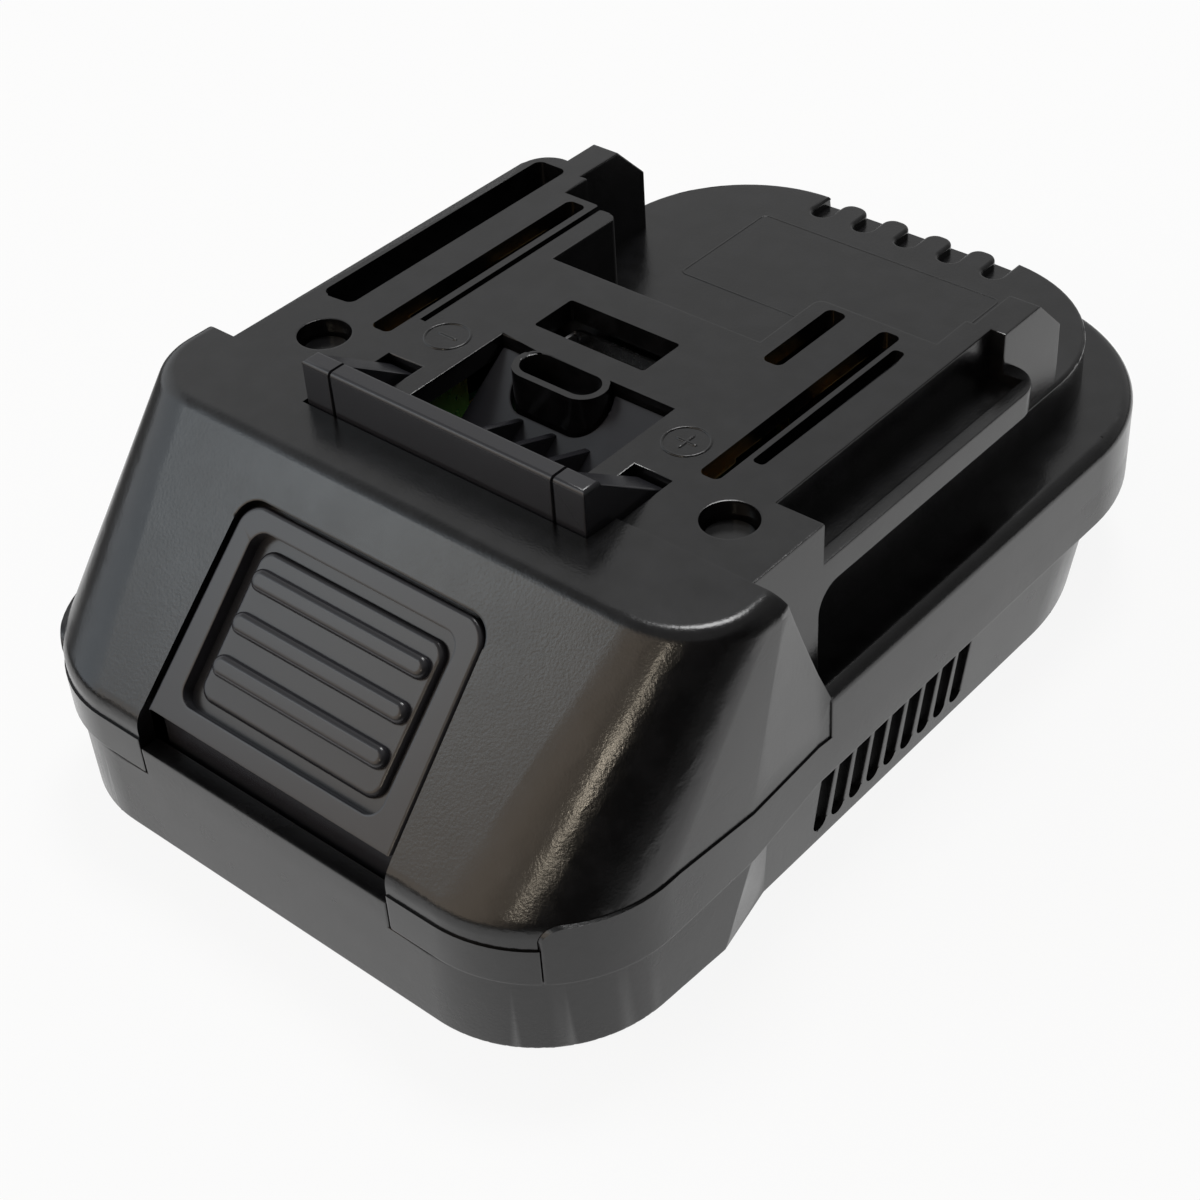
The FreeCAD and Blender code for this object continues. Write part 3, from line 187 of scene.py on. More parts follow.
class AdapterMarks(bpy.types.PropertyGroup):
    """Sizes of the raised marks and the bare label panel."""
    ring_radius: FloatProperty(name="Ring radius", description="Radius of the ring round a polarity mark",
                               default=0.00244, min=0.001, max=0.005, unit="LENGTH", subtype="DISTANCE",
                               precision=5)
    ring_reach: FloatProperty(name="Ring distance", description="Distance of each mark from the middle",
                              default=0.016, min=0.01, max=0.02, unit="LENGTH", subtype="DISTANCE",
                              precision=5)
    ring_rear: FloatProperty(name="Ring position", description="How far the marks stand behind the screws",
                             default=0.0073, min=0.006, max=0.01, unit="LENGTH", subtype="DISTANCE",
                             precision=5)
    line_width: FloatProperty(name="Line width", description="Width of the raised lines", default=0.00034,
                              min=0.0001, max=0.001, unit="LENGTH", subtype="DISTANCE", precision=5)
    line_height: FloatProperty(name="Line height", description="Height of the raised lines",
                               default=0.00013, min=0.00002, max=0.0004, unit="LENGTH",
                               subtype="DISTANCE", precision=5)
    panel_half_width: FloatProperty(name="Panel half width", description="Half the bare label panel's width",
                                    default=0.0168, min=0.01, max=0.02, unit="LENGTH",
                                    subtype="DISTANCE", precision=5)
    panel_front: FloatProperty(name="Panel front", description="Front of the label panel behind the screws",
                               default=0.0466, min=0.044, max=0.05, unit="LENGTH", subtype="DISTANCE",
                               precision=5)
    panel_rear: FloatProperty(name="Panel rear", description="Rear of the label panel behind the screws",
                              default=0.0629, min=0.055, max=0.065, unit="LENGTH", subtype="DISTANCE",
                              precision=5)


class AdapterStudio(bpy.types.PropertyGroup):
    """Floor, lamps and the levels of the soft surroundings."""
    floor_colour: colour_property("Floor colour", "Colour of the plain floor", (0.93, 0.93, 0.93))
    key_power: FloatProperty(name="Key lamp", description="Power of the soft lamp high on the left",
                             default=5.0, min=0.0, max=200.0, unit="POWER")
    streak_power: FloatProperty(name="Streak lamp", description="Power of the small warm lamp at the front",
                                default=0.72, min=0.0, max=100.0, unit="POWER")
    sky_power: FloatProperty(name="Sky lamp", description="Power of the cool soft lamp at the left front",
                             default=0.4, min=0.0, max=100.0, unit="POWER")
    window_side: FloatProperty(name="Window side", description="Level of the surroundings at the left front",
                               default=1.35, min=0.0, max=3.0)
    wall_side: FloatProperty(name="Wall side", description="Level of the surroundings at the left rear",
                             default=0.58, min=0.0, max=3.0)
    dark_side: FloatProperty(name="Dark side", description="Level of the surroundings at the right front",
                             default=0.03, min=0.0, max=2.0)
    overhead: FloatProperty(name="Overhead", description="Level of the surroundings high above",
                            default=0.25, min=0.0, max=2.0)
    floor_glow: FloatProperty(name="Floor glow", description="How much of the floor shows as plain white",
                              default=0.9, min=0.0, max=1.0, subtype="FACTOR")
    floor_reach: FloatProperty(name="Reflected floor", description="How far the floor shows in reflections",
                               default=0.09, min=0.05, max=2.0, unit="LENGTH", subtype="DISTANCE")


# Material building

def new_material(name):
    material = bpy.data.materials.new(name)
    material.use_nodes = True
    tree = material.node_tree
    return material, tree, tree.nodes["Principled BSDF"]


def add_node(tree, kind, inputs=None, **settings):
    node = tree.nodes.new(kind)
    for key, value in settings.items():
        setattr(node, key, value)
    for key, value in (inputs or {}).items():
        node.inputs[key].default_value = value
    return node


def object_noise(tree, size, detail=2.0, roughness=0.5, stretch=None):
    """Noise whose features are about size metres wide, fixed to the object."""
    place = add_node(tree, "ShaderNodeTexCoord")
    source = place.outputs["Object"]
    if stretch:
        mapping = add_node(tree, "ShaderNodeMapping", {"Scale": stretch})
        tree.links.new(source, mapping.inputs["Vector"])
        source = mapping.outputs["Vector"]
    noise = add_node(tree, "ShaderNodeTexNoise", {"Scale": 1.0 / size, "Detail": detail,
                                                  "Roughness": roughness})
    tree.links.new(source, noise.inputs["Vector"])
    return noise.outputs["Fac"]


def mapped(tree, value, low, high, to_low, to_high):
    node = add_node(tree, "ShaderNodeMapRange", {"From Min": low, "From Max": high, "To Min": to_low,
                                                 "To Max": to_high})
    tree.links.new(value, node.inputs["Value"])
    return node.outputs["Result"]


def blended(tree, factor, first, second):
    """Colour between two colours, or between a socket and a colour, by a factor socket."""
    node = add_node(tree, "ShaderNodeMix", data_type="RGBA")
    tree.links.new(factor, node.inputs["Factor"])
    for socket, value in ((node.inputs["A"], first), (node.inputs["B"], second)):
        if isinstance(value, bpy.types.NodeSocket):
            tree.links.new(value, socket)
        else:
            socket.default_value = (*value, 1.0)
    return node.outputs["Result"]


def product(tree, first, second):
    node = add_node(tree, "ShaderNodeMath", operation="MULTIPLY")
    tree.links.new(first, node.inputs[0])
    tree.links.new(second, node.inputs[1])
    return node.outputs["Value"]


def bumped(tree, shader, height, depth, under=None):
    bump = add_node(tree, "ShaderNodeBump", {"Strength": 1.0, "Distance": depth})
    tree.links.new(height, bump.inputs["Height"])
    if under:
        tree.links.new(under, bump.inputs["Normal"])
    tree.links.new(bump.outputs["Normal"], shader.inputs["Normal"])
    return bump.outputs["Normal"]


def scaled(colour, factor):
    """Colour made lighter or darker."""
    return tuple(min(1.0, value * factor) for value in colour)


def moulded_plastic(name, colour, roughness, grain_size, grain_depth, wear_and_sheen=0.35):
    """Satin moulded plastic: spark-eroded grain, faint flow marks, handled patches, and rounded edges
    lightened in patches, partly as rubbed wear and partly as a painted edge highlight.
    """
    material, tree, shader = new_material(name)
    grain = object_noise(tree, grain_size, 3.0, 0.6)
    flow = object_noise(tree, FLOW_SIZE, 2.0, 0.5, (1.0, 0.35, 1.0))
    smudge = object_noise(tree, SMUDGE_SIZE, 4.0, 0.6)
    # Rounded edge faces are lightened in patches: partly rubbed wear, partly a painted highlight along the
    # edges
    edge_wear_and_highlight_faces = add_node(tree, "ShaderNodeAttribute", attribute_name="eased_edge")
    patchy = mapped(tree, object_noise(tree, EDGE_WEAR_AND_HIGHLIGHT_PATCH, 3.0, 0.6), 0.42, 0.62, 0.0, wear_and_sheen)
    edge = product(tree, edge_wear_and_highlight_faces.outputs["Fac"], patchy)
    body = blended(tree, flow, *(scaled(colour, shade) for shade in FLOW_SHADES))
    worn_and_highlit = blended(tree, edge, body, scaled(colour, EDGE_WEAR_AND_HIGHLIGHT_SHADE))
    tree.links.new(worn_and_highlit, shader.inputs["Base Color"])
    satin = mapped(tree, smudge, 0.35, 0.68, *(roughness + change for change in SMUDGE_SATIN))
    tree.links.new(satin, shader.inputs["Roughness"])
    bumped(tree, shader, grain, grain_depth)
    shader.inputs["IOR"].default_value = PLASTIC_IOR
    return material


def plated_metal(name, colour, roughness, brush_size, stretch, depth=0.000004, stain=0.82):
    """Plated or stamped metal: drawing lines, dulled patches and a little unevenness."""
    material, tree, shader = new_material(name)
    lines = object_noise(tree, brush_size, 2.0, 0.5, stretch)
    dull = object_noise(tree, 0.002, 3.0, 0.6)
    shade = blended(tree, dull, scaled(colour, stain), scaled(colour, 1.06))
    tree.links.new(shade, shader.inputs["Base Color"])
    tree.links.new(mapped(tree, dull, 0.3, 0.7, roughness - 0.06, roughness + 0.1),
                   shader.inputs["Roughness"])
    bumped(tree, shader, lines, depth)
    shader.inputs["Metallic"].default_value = 1.0
    return material


def solder_mask(name, colour):
    """Green laminate with copper tracks showing faintly under the mask."""
    material, tree, shader = new_material(name)
    place = add_node(tree, "ShaderNodeTexCoord")
    tracks = add_node(tree, "ShaderNodeTexBrick", {"Scale": 160.0, "Mortar Size": 0.06},
                      offset=0.37, squash=1.6)
    tree.links.new(place.outputs["Object"], tracks.inputs["Vector"])
    fibres = object_noise(tree, 0.0006, 2.0, 0.6, (1.0, 3.0, 1.0))
    shade = blended(tree, tracks.outputs["Fac"], scaled(colour, 1.0), scaled(colour, 1.7))
    woven = blended(tree, mapped(tree, fibres, 0.3, 0.7, 0.0, 0.35), shade, scaled(colour, 0.6))
    tree.links.new(woven, shader.inputs["Base Color"])
    tree.links.new(mapped(tree, fibres, 0.3, 0.7, 0.32, 0.45), shader.inputs["Roughness"])
    bumped(tree, shader, tracks.outputs["Fac"], 0.00003)
    return material


def soft_insulation(name, colour):
    """Wire insulation: slightly waxy, with extrusion lines."""
    material, tree, shader = new_material(name)
    lines = object_noise(tree, 0.0004, 2.0, 0.5)
    dull = object_noise(tree, 0.003, 3.0, 0.5)
    tree.links.new(blended(tree, dull, scaled(colour, 0.8), scaled(colour, 1.15)),
                   shader.inputs["Base Color"])
    tree.links.new(mapped(tree, dull, 0.3, 0.7, 0.4, 0.55), shader.inputs["Roughness"])
    bumped(tree, shader, lines, 0.00001)
    shader.inputs["Subsurface Weight"].default_value = 0.05
    return material


def dress(node_name, material):
    """Gives a carried-over piece its finish."""
    node = frame["nodes"][node_name]
    slots = node.material_slots
    if len(slots) == 0:
        node.data.materials.append(material)
    for slot in slots:
        slot.link = "OBJECT"
        slot.material = material


def material_of(name, maker):
    return bpy.data.materials.get(name) or maker()


def case_plastic():
    finish = bpy.context.scene.adapter_case_finish
    return material_of("case_plastic", lambda: moulded_plastic(
        "case_plastic", tuple(finish.case_colour), finish.case_roughness, finish.grain_size,
        finish.grain_depth))


def lower_plastic():
    finish = bpy.context.scene.adapter_case_finish
    return material_of("lower_plastic", lambda: moulded_plastic(
        "lower_plastic", scaled(tuple(finish.case_colour), 1.1), finish.case_roughness + 0.05,
        finish.grain_size * 1.2, finish.grain_depth * 1.3))


def latch_plastic():
    finish = bpy.context.scene.adapter_case_finish
    return material_of("latch_plastic", lambda: moulded_plastic(
        "latch_plastic", tuple(finish.latch_colour), finish.latch_roughness, finish.grain_size,
        finish.grain_depth * 0.7, 0.45))


# Mesh building

def linked(piece):
    bpy.context.scene.collection.objects.link(piece)
    return piece


def smoothed(piece, sharp_angle=38.0):
    """Smooth faces with weighted normals, sharp where two faces meet at more than the angle."""
    mesh = piece.data
    work = bmesh.new()
    work.from_mesh(mesh)
    for face in work.faces:
        face.smooth = True
    limit = math.radians(sharp_angle)
    for edge in work.edges:
        edge.smooth = len(edge.link_faces) == 2 and edge.calc_face_angle(0.0) < limit
    work.to_mesh(mesh)
    work.free()
    weight = piece.modifiers.new("flat_faces", "WEIGHTED_NORMAL")
    weight.mode = "FACE_AREA"
    weight.keep_sharp = True
    return piece


def eased_copy(node_name, ease, angle=SHARP_TURN):
    """Copy of a moulded piece with its sharp edges rounded, and their faces marked for edge wear and a
    painted edge highlight.

    Where a rounded corner would stray from the moulded surface, the edges near it stay sharp."""
    mesh = frame["nodes"][node_name].data.copy()
    mesh.name = node_name + "_eased"
    mesh.materials.clear()
    base = bmesh.new()
    base.from_mesh(mesh)
    bmesh.ops.remove_doubles(base, verts=base.verts, dist=WELD_REACH)
    bmesh.ops.dissolve_limit(base, angle_limit=math.radians(FLAT_TURN), verts=base.verts,
                             edges=base.edges)
    base.loops.layers.float_color.new("eased_edge")
    surface = BVHTree.FromBMesh(base)
    spared = []
    for attempt in range(EASING_TRIES):
        work = base.copy()
        sharp = [e for e in sharp_edges(work, ease, angle)
                 if not any(distance_to(e, place) < ease * SPARED_REACH for place in spared)]
        result = bevelled(work, sharp, surface, node_name, ease)
        stray = stray_corners(work, surface, ease * STRAY_REACH)
        if not stray or attempt == EASING_TRIES - 1:
            break
        spared += stray
        work.free()
    # Marks the rounded faces, which the plastic lightens as wear and as a painted edge highlight
    wear_and_sheen = work.loops.layers.float_color["eased_edge"]
    for face in result:
        for loop in face.loops:
            loop[wear_and_sheen] = (1.0, 1.0, 1.0, 1.0)
    work.to_mesh(mesh)
    work.free()
    base.free()
    piece = linked(bpy.data.objects.new(node_name + "_eased", mesh))
    return smoothed(piece)


def sharp_edges(work, ease, angle):
    """Outward edges sharper than the angle, but for very short ones and those of the seam."""
    limit = math.radians(angle)
    return [e for e in work.edges
            if len(e.link_faces) == 2 and e.is_convex and e.calc_face_angle(0.0) > limit
            and e.calc_length() > ease * SHORTEST_EDGE
            and not all(on_seam(vert.co) for vert in e.verts)]


def distance_to(edge, place):
    """Distance of a point from an edge."""
    first, second = (vert.co for vert in edge.verts)
    along = second - first
    share = min(max((place - first).dot(along) / along.length_squared, 0.0), 1.0)
    return (first + along * share - place).length


def bevelled(work, sharp, surface, node_name, ease):
    """Rounds the edges, draws stray corners back and returns the new faces."""
    low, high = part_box(node_name)
    strips = thin_strips(sharp)
    result = bmesh.ops.bevel(work, geom=sharp, offset=ease, offset_type="OFFSET",
                             segments=EASING_SEGMENTS, profile=EASING_PROFILE, affect="EDGES",
                             clamp_overlap=False, material=-1, loop_slide=True)
    for vert in result["verts"]:
        for shape, reach in ((strips, CORNER_REACH), (surface, SURFACE_REACH)):
            place, away = shape.find_nearest(vert.co)[0::3]
            if away > ease * reach:
                vert.co = place
        vert.co = [min(max(value, least), most) for value, least, most in zip(vert.co, low, high)]
    return result["faces"]


def stray_corners(work, surface, reach):
    """Corners of the triangles of a rounded mesh that leave the moulded surface."""
    places = []
    for loops in work.calc_loop_triangles():
        corners = [loop.vert.co for loop in loops]
        middle = (corners[0] + corners[1] + corners[2]) / 3
        samples = [middle] + [(middle + corner) / 2 for corner in corners]
        samples += [(corners[k] + corners[k - 1]) / 2 for k in range(3)]
        if any(surface.find_nearest(sample)[3] > reach for sample in samples):
            places += [corner.copy() for corner in corners]
    return places


def on_seam(place):
    """Whether a point lies between the parting line and the top of the lower case's rim."""
    return DECK_Z - SEAM_LOW < place.z < DECK_Z - SEAM_HIGH


def thin_strips(edges):
    """Search tree of the edges, each as a very thin triangle."""
    points, strips = [], []
    for edge in edges:
        first, second = (vert.co.copy() for vert in edge.verts)
        aside = (second - first).orthogonal().normalized() * STRIP_WIDTH
        strips.append((len(points), len(points) + 1, len(points) + 2))
        points += [first, second, second + aside]
    return BVHTree.FromPolygons(points, strips)


def body_of(node_name):
    """Body that the record puts a node on."""
    for body, members in frame["record"]["behaviour"]["bodies"].items():
        if node_name in members:
            return body
    raise RuntimeError("no body holds " + node_name)


def put_in_place(piece, node_name, material):
    """Makes a finished copy stand for its node."""
    piece.data.materials.append(material)
    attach(piece, body_of(node_name))
    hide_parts(node_name)
    return piece


def ridge(work, points, width, height, closed=False, steps=6):
    """Raised round-backed line through points, tapered to its ends unless it is closed."""
    rows = []
    count = len(points)
    for i, point in enumerate(points):
        if closed:
            along = points[(i + 1) % count] - points[i - 1]
            share = 1.0
        else:
            along = points[min(i + 1, count - 1)] - points[max(i - 1, 0)]
            near_end = min(i, count - 1 - i) / (count - 1) * 2
            share = min(1.0, math.sqrt(max(0.02, near_end * 6)))
        across = Vector((along.y, -along.x, 0.0)).normalized()
        row = []
        for j in range(steps + 1):
            turn = math.pi * j / steps
            row.append(work.verts.new(point + across * (math.cos(turn) * width / 2 * share)
                                      + Vector((0, 0, math.sin(turn) * height * share))))
        rows.append(row)
    spans = count if closed else count - 1
    for i in range(spans):
        first, second = rows[i], rows[(i + 1) % count]
        for j in range(steps):
            work.faces.new((first[j], first[j + 1], second[j + 1], second[j]))
    if not closed:
        work.faces.new(rows[0])
        work.faces.new(list(reversed(rows[-1])))


def ring_points(centre, radius, count=56):
    return [centre + Vector((math.cos(2 * math.pi * i / count), math.sin(2 * math.pi * i / count), 0))
            * radius for i in range(count)]


def bar_points(centre, direction, half_length, count=12):
    return [centre + direction * (half_length * (2 * i / (count - 1) - 1)) for i in range(count)]


def mesh_piece(name, work, material, body):
    bmesh.ops.recalc_face_normals(work, faces=work.faces)
    mesh = bpy.data.meshes.new(name)
    work.to_mesh(mesh)
    work.free()
    for polygon in mesh.polygons:
        polygon.use_smooth = True
    piece = linked(bpy.data.objects.new(name, mesh))
    piece.data.materials.append(material)
    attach(piece, body)
    return piece


# Operators, one for each piece or group of like pieces

class AdapterMakeTopCover(bpy.types.Operator):
    """Finish the upper moulding with its nose, deck and rails"""
    bl_idname = "adapter.make_top_cover"
    bl_label = "Top cover"

    def execute(self, context):
        ease = context.scene.adapter_case_finish.edge_ease
        put_in_place(eased_copy("top_cover", ease), "top_cover", case_plastic())
        return {"FINISHED"}


class AdapterMakeLowerCase(bpy.types.Operator):
    """Finish the lower moulding with its vents and battery channel"""
    bl_idname = "adapter.make_lower_case"
    bl_label = "Lower case"

    def execute(self, context):
        ease = context.scene.adapter_case_finish.edge_ease
        put_in_place(eased_copy("lower_case", ease), "lower_case", lower_plastic())
        return {"FINISHED"}


class AdapterMakeLatchSlider(bpy.types.Operator):
    """Finish the latch: bar, fins, ramp and ribbed button"""
    bl_idname = "adapter.make_latch_slider"
    bl_label = "Latch and button"

    def execute(self, context):
        ease = context.scene.adapter_case_finish.edge_ease
        put_in_place(eased_copy("latch_slider", ease), "latch_slider", latch_plastic())
        return {"FINISHED"}


class AdapterMakeScrewsAndPlugs(bpy.types.Operator):
    """Finish the screws and the plugs over them"""
    bl_idname = "adapter.make_screws_and_plugs"
    bl_label = "Screws and plugs"

    def execute(self, context):
        finish = context.scene.adapter_case_finish
        metal = context.scene.adapter_metal_finish
        plug = moulded_plastic("plug_plastic", scaled(tuple(finish.case_colour), 1.25), 0.22,
                               finish.grain_size * 2, finish.grain_depth * 0.4)
        zinc = plated_metal("zinc_steel", tuple(metal.steel_colour), 0.34, 0.0002, (1.0, 1.0, 5.0))
        dress("screw_plugs", plug)
        for name in ("deck_screws", "rear_screws", "board_screws"):
            dress(name, zinc)
        return {"FINISHED"}


class AdapterMakeLatchSprings(bpy.types.Operator):
    """Finish the two coil springs under the latch"""
    bl_idname = "adapter.make_latch_springs"
    bl_label = "Latch springs"

    def execute(self, context):
        metal = context.scene.adapter_metal_finish
        wire = plated_metal("spring_steel", tuple(metal.steel_colour), 0.26, 0.00015, (1.0, 1.0, 3.0))
        for name in ("latch_spring_left", "latch_spring_right"):
            mesh = frame["nodes"][name].data.copy()
            mesh.materials.clear()
            coil = smoothed(linked(bpy.data.objects.new(name + "_coil", mesh)), 60.0)
            put_in_place(coil, name, wire)
            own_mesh(coil)
        return {"FINISHED"}


class AdapterMakeTerminals(bpy.types.Operator):
    """Finish the leaf terminals that grip the tool's blades"""
    bl_idname = "adapter.make_terminals"
    bl_label = "Tool terminals"

    def execute(self, context):
        metal = context.scene.adapter_metal_finish
        brass = plated_metal("stamped_brass", tuple(metal.brass_colour), 0.28, 0.0003, (1.0, 0.2, 1.0))
        for name in ("tool_terminal_negative", "tool_terminal_positive", "signal_contact"):
            dress(name, brass)
        return {"FINISHED"}


class AdapterMakeUsbOutlet(bpy.types.Operator):
    """Finish the charging socket: shell, tongue and contacts"""
    bl_idname = "adapter.make_usb_outlet"
    bl_label = "Charging socket"

    def execute(self, context):
        metal = context.scene.adapter_metal_finish
        finish = context.scene.adapter_case_finish
        dress("usb_shell", plated_metal("socket_steel", tuple(metal.shell_colour), 0.24, 0.0004,
                                        (1.0, 1.0, 0.3)))
        dress("usb_tongue", moulded_plastic("tongue_plastic", scaled(tuple(finish.case_colour), 1.4), 0.4,
                                            finish.grain_size, finish.grain_depth))
        dress("usb_contacts", plated_metal("contact_gold", tuple(metal.gold_colour), 0.2, 0.0002,
                                           (1.0, 1.0, 0.3), stain=0.9))
        return {"FINISHED"}


class AdapterMakeElectronics(bpy.types.Operator):
    """Finish the circuit board and the parts on it"""
    bl_idname = "adapter.make_electronics"
    bl_label = "Circuit board"

    def execute(self, context):
        metal = context.scene.adapter_metal_finish
        finish = context.scene.adapter_case_finish
        dress("main_board", solder_mask("board_laminate", tuple(metal.laminate_colour)))
        dress("converter_chip", moulded_plastic("chip_epoxy", (0.02, 0.02, 0.02), 0.5, 0.0001,
                                                finish.grain_depth))
        dress("converter_inductor", moulded_plastic("inductor_ferrite", (0.09, 0.09, 0.09), 0.6, 0.0002,
                                                    finish.grain_depth * 2))
        dress("filter_capacitor", plated_metal("capacitor_can", tuple(metal.sleeve_colour), 0.3, 0.0003,
                                               (1.0, 1.0, 0.2)))
        return {"FINISHED"}


class AdapterMakeBatterySide(bpy.types.Operator):
    """Finish the terminal block and blades that meet the battery"""
    bl_idname = "adapter.make_battery_side"
    bl_label = "Battery side"

    def execute(self, context):
        metal = context.scene.adapter_metal_finish
        finish = context.scene.adapter_case_finish
        dress("battery_block", moulded_plastic("block_plastic", (0.03, 0.03, 0.032), 0.42,
                                               finish.grain_size, finish.grain_depth))
        blade = plated_metal("blade_brass", scaled(tuple(metal.brass_colour), 0.98), 0.25, 0.0003,
                             (1.0, 0.2, 1.0))
        for name in ("battery_blade_positive", "battery_blade_negative", "battery_signal_blades"):
            dress(name, blade)
        return {"FINISHED"}


class AdapterMakeWires(bpy.types.Operator):
    """Finish the insulated wires inside the case"""
    bl_idname = "adapter.make_wires"
    bl_label = "Wires"

    def execute(self, context):
        dress("wire_positive", soft_insulation("insulation_red", (0.42, 0.02, 0.02)))
        dress("wire_negative", soft_insulation("insulation_black", (0.02, 0.02, 0.02)))
        dress("signal_wires", soft_insulation("insulation_white", (0.6, 0.6, 0.58)))
        return {"FINISHED"}


class AdapterMakePolarityMarks(bpy.types.Operator):
    """Raise the ringed minus and plus marks on the deck"""
    bl_idname = "adapter.make_polarity_marks"
    bl_label = "Polarity marks"

    def execute(self, context):
        marks = context.scene.adapter_marks
        for name, side in (("polarity_minus", -1), ("polarity_plus", 1)):
            centre = Vector((side * marks.ring_reach, SCREW_LINE_Y + marks.ring_rear, DECK_Z - SUNK))
            work = bmesh.new()
            ridge(work, ring_points(centre, marks.ring_radius), marks.line_width, marks.line_height, True)
            half = marks.ring_radius * MARK_REACH
            for direction in ((1, 0, 0), (0, 1, 0))[:2 if side > 0 else 1]:
                ridge(work, bar_points(centre, Vector(direction), half), marks.line_width * MARK_WIDTH,
                      marks.line_height)
            piece = mesh_piece(name, work, case_plastic(), "housing")
        return {"FINISHED"}


class AdapterMakeLabelPanel(bpy.types.Operator):
    """Outline the bare panel for a label behind the deck"""
    bl_idname = "adapter.make_label_panel"
    bl_label = "Bare label panel"

    def execute(self, context):
        marks = context.scene.adapter_marks
        half = marks.panel_half_width
        front = SCREW_LINE_Y + marks.panel_front
        rear = SCREW_LINE_Y + marks.panel_rear
        level = DECK_Z - TERRACE_DEPTH - SUNK
        corner = PANEL_CORNER
        outline = []
        for x, y, start in ((half, front, -90), (half, rear, 0), (-half, rear, 90), (-half, front, 180)):
            centre = Vector((x - math.copysign(corner, x), y + (corner if y == front else -corner), level))
            for i in range(PANEL_CORNER_STEPS + 1):
                angle = math.radians(start + 90 / PANEL_CORNER_STEPS * i)
                outline.append(centre + Vector((math.cos(angle), math.sin(angle), 0)) * corner)
        work = bmesh.new()
        ridge(work, outline, PANEL_LINE_WIDTH, PANEL_LINE_HEIGHT, True)
        piece = mesh_piece("label_panel_outline", work, case_plastic(), "housing")
        return {"FINISHED"}


def floor_material(studio):
    """Plain floor that shows as white, keeps the shadow and fades out of reflections further away."""
    material, tree, shader = new_material("plain_floor")
    colour = tuple(studio.floor_colour)
    speckle = object_noise(tree, 0.004, 3.0, 0.5)
    tree.links.new(blended(tree, speckle, scaled(colour, 0.99), scaled(colour, 1.0)),
                   shader.inputs["Base Color"])
    shader.inputs["Roughness"].default_value = 0.9
    path = add_node(tree, "ShaderNodeLightPath")
    seen = add_node(tree, "ShaderNodeMath", operation="MAXIMUM")
    tree.links.new(path.outputs["Is Camera Ray"], seen.inputs[0])
    tree.links.new(path.outputs["Is Glossy Ray"], seen.inputs[1])
    through = add_node(tree, "ShaderNodeMath", operation="MAXIMUM")
    tree.links.new(seen.outputs["Value"], through.inputs[0])
    tree.links.new(path.outputs["Is Transmission Ray"], through.inputs[1])
    share = add_node(tree, "ShaderNodeMath", operation="MULTIPLY")
    share.inputs[1].default_value = studio.floor_glow
    tree.links.new(through.outputs["Value"], share.inputs[0])
    place = add_node(tree, "ShaderNodeTexCoord")
    shortened = add_node(tree, "ShaderNodeMapping", {"Scale": (1.0, FLOOR_SHORTENED, 1.0)})
    tree.links.new(place.outputs["Object"], shortened.inputs["Vector"])
    length = add_node(tree, "ShaderNodeVectorMath", operation="LENGTH")
    tree.links.new(shortened.outputs["Vector"], length.inputs[0])
    near = mapped(tree, length.outputs["Value"], studio.floor_reach, studio.floor_reach * FLOOR_FADE,
                  1.0, FLOOR_FAR_LEVEL)
    level = add_node(tree, "ShaderNodeMath", operation="MAXIMUM")
    tree.links.new(path.outputs["Is Camera Ray"], level.inputs[0])
    tree.links.new(near, level.inputs[1])
    white = add_node(tree, "ShaderNodeEmission", {"Color": (1, 1, 1, 1)})
    tree.links.new(level.outputs["Value"], white.inputs["Strength"])
    mix = add_node(tree, "ShaderNodeMixShader")
    tree.links.new(share.outputs["Value"], mix.inputs[0])
    tree.links.new(shader.outputs["BSDF"], mix.inputs[1])
    tree.links.new(white.outputs["Emission"], mix.inputs[2])
    tree.links.new(mix.outputs["Shader"], tree.nodes["Material Output"].inputs["Surface"])
    return material


def soft_lamp(name, power, place, aim, size, tint):
    """Round area lamp that points at its aim."""
    data = bpy.data.lights.new(name, "AREA")
    data.shape = "DISK"
    data.size = size
    data.energy = power
    data.color = tint
    lamp = linked(bpy.data.objects.new(name, data))
    lamp.location = place
    lamp.rotation_mode = "QUATERNION"
    lamp.rotation_quaternion = (Vector(place) - Vector(aim)).to_track_quat("Z", "Y")
    return lamp


def studio_world(studio):
    """Soft surroundings by compass direction: bright at the left front, dark at the right front."""
    world = bpy.data.worlds.new("studio_surroundings")
    bpy.context.scene.world = world
    world.use_nodes = True
    tree = world.node_tree
    place = add_node(tree, "ShaderNodeTexCoord")
    parts = add_node(tree, "ShaderNodeSeparateXYZ")
    tree.links.new(place.outputs["Generated"], parts.inputs["Vector"])
    compass = add_node(tree, "ShaderNodeMath", operation="ARCTAN2")
    tree.links.new(parts.outputs["X"], compass.inputs[0])
    tree.links.new(parts.outputs["Y"], compass.inputs[1])
    window, wall, dark = studio.window_side, studio.wall_side, studio.dark_side
    ramp = add_node(tree, "ShaderNodeValToRGB")
    tree.links.new(mapped(tree, compass.outputs["Value"], -math.pi, math.pi, 0.0, 1.0), ramp.inputs["Fac"])
    stops = ((-180, window * 0.7, 0.2), (-165, window * 0.9, 0.2), (-143, window * 0.9, 0.15),
             (-131, window, -0.1), (-100, (window + wall) / 2, -0.04), (-50, wall, 0.0),
             (0, wall * 0.8, 0.0), (40, wall * 0.4, 0.0), (80, dark, 0.0), (152, dark, 0.0),
             (168, window * 0.3, 0.2), (178, window * 0.65, 0.2))
    elements = ramp.color_ramp.elements
    while len(elements) > 1:
        elements.remove(elements[0])
    for i, (angle, level, warmth) in enumerate(stops):
        element = elements[0] if i == 0 else elements.new((angle + 180) / 360)
        element.position = (angle + 180) / 360
        element.color = (level * (1 + warmth), level, level * (1 - warmth), 1.0)
    high = mapped(tree, parts.outputs["Z"], *OVERHEAD_HEIGHTS, 0.0, 1.0)
    level = blended(tree, high, ramp.outputs["Color"], (studio.overhead,) * 3)
    tree.links.new(level, tree.nodes["Background"].inputs["Color"])
    tree.nodes["Background"].inputs["Strength"].default_value = 1.0


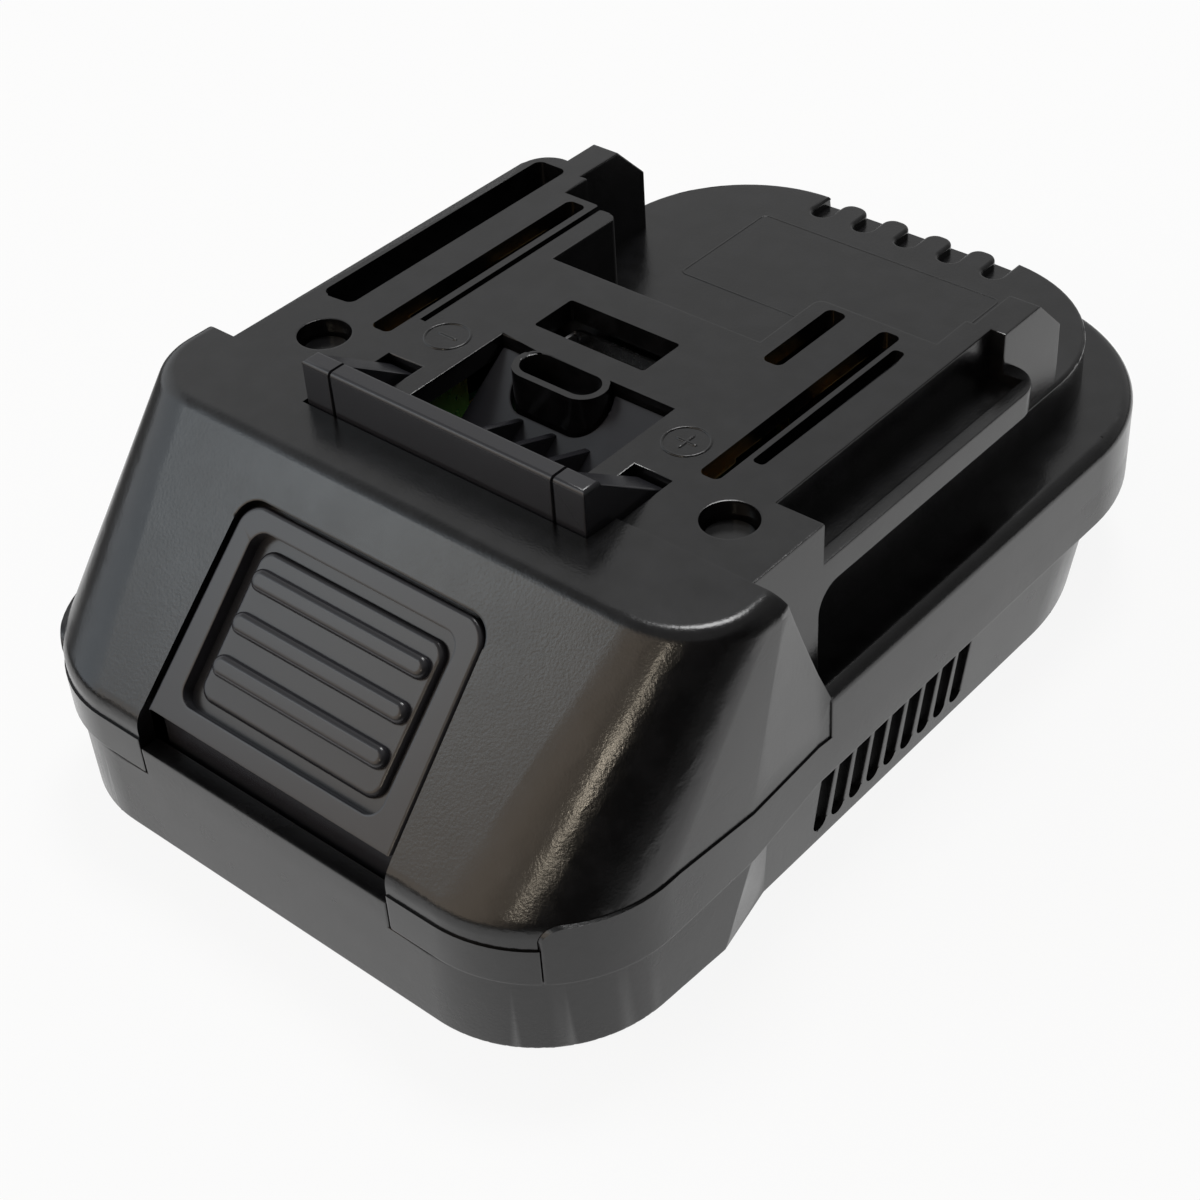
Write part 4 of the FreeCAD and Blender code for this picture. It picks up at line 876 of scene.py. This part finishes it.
def photograph_camera():
    """Camera at the photograph's place, its axes given as rows in the object's frame."""
    across, down, ahead = (Vector(axis) for axis in (CAMERA_ACROSS, CAMERA_DOWN, CAMERA_AHEAD))
    data = bpy.data.cameras.new("photograph_camera")
    camera = linked(bpy.data.objects.new("photograph_camera", data))
    turned = Matrix((across, -down, -ahead)).transposed().to_4x4()
    turned.translation = Vector((CAMERA_PLACE[0], CAMERA_PLACE[1] + SCREW_LINE_Y, CAMERA_PLACE[2] + DECK_Z))
    camera.matrix_world = turned
    data.sensor_width = SENSOR_WIDTH_MM
    data.lens = FOCAL_PIXELS / PHOTOGRAPH_PIXELS * SENSOR_WIDTH_MM
    data.clip_start = 0.01
    bpy.context.scene.camera = camera


class AdapterMakeStudio(bpy.types.Operator):
    """Set out the floor, the lamps, the surroundings and the camera"""
    bl_idname = "adapter.make_studio"
    bl_label = "Studio"

    def execute(self, context):
        studio = context.scene.adapter_studio
        photograph_camera()
        work = bmesh.new()
        bmesh.ops.create_circle(work, cap_ends=True, segments=FLOOR_SIDES, radius=FLOOR_RADIUS)
        mesh = bpy.data.meshes.new("plain_floor")
        work.to_mesh(mesh)
        work.free()
        floor = linked(bpy.data.objects.new("plain_floor", mesh))
        floor.location.z = cad_low.z
        floor.data.materials.append(floor_material(studio))
        soft_lamp("key_lamp", studio.key_power, *KEY_LAMP)
        soft_lamp("sky_lamp", studio.sky_power, *SKY_LAMP)
        soft_lamp("streak_lamp", studio.streak_power, *STREAK_LAMP)
        studio_world(studio)
        context.scene.view_settings.view_transform = "Standard"
        return {"FINISHED"}


class AdapterPanel(bpy.types.Panel):
    """Lists the adapter's sizes, finishes and pieces"""
    bl_idname = "VIEW3D_PT_adapter"
    bl_label = "Battery adapter"
    bl_space_type = "VIEW_3D"
    bl_region_type = "UI"
    bl_category = "Adapter"

    def draw(self, context):
        layout = self.layout
        scene = context.scene
        for group in (scene.adapter_case_finish, scene.adapter_metal_finish, scene.adapter_marks,
                      scene.adapter_studio):
            box = layout.box()
            for key in group.__annotations__:
                box.prop(group, key)
        for piece in PIECES:
            layout.operator(piece.bl_idname)


PIECES = (
    AdapterMakeStudio,
    AdapterMakeTopCover,
    AdapterMakeLowerCase,
    AdapterMakeLatchSlider,
    AdapterMakeScrewsAndPlugs,
    AdapterMakeLatchSprings,
    AdapterMakeTerminals,
    AdapterMakeUsbOutlet,
    AdapterMakeElectronics,
    AdapterMakeBatterySide,
    AdapterMakeWires,
    AdapterMakePolarityMarks,
    AdapterMakeLabelPanel,
)
GROUPS = (
    ("adapter_case_finish", AdapterCaseFinish),
    ("adapter_metal_finish", AdapterMetalFinish),
    ("adapter_marks", AdapterMarks),
    ("adapter_studio", AdapterStudio),
)


def register():
    for key, group in GROUPS:
        bpy.utils.register_class(group)
        setattr(bpy.types.Scene, key, PointerProperty(type=group))
    for piece in PIECES:
        bpy.utils.register_class(piece)
    bpy.utils.register_class(AdapterPanel)


def unregister():
    bpy.utils.unregister_class(AdapterPanel)
    for piece in reversed(PIECES):
        bpy.utils.unregister_class(piece)
    for key, group in reversed(GROUPS):
        delattr(bpy.types.Scene, key)
        bpy.utils.unregister_class(group)


def main():
    register()
    bpy.ops.adapter.make_studio()
    bpy.ops.adapter.make_top_cover()
    bpy.ops.adapter.make_lower_case()
    bpy.ops.adapter.make_latch_slider()
    bpy.ops.adapter.make_screws_and_plugs()
    bpy.ops.adapter.make_latch_springs()
    bpy.ops.adapter.make_terminals()
    bpy.ops.adapter.make_usb_outlet()
    bpy.ops.adapter.make_electronics()
    bpy.ops.adapter.make_battery_side()
    bpy.ops.adapter.make_wires()
    bpy.ops.adapter.make_polarity_marks()
    bpy.ops.adapter.make_label_panel()
    bpy.context.view_layer.update()


if __name__ == "__main__":
    main()
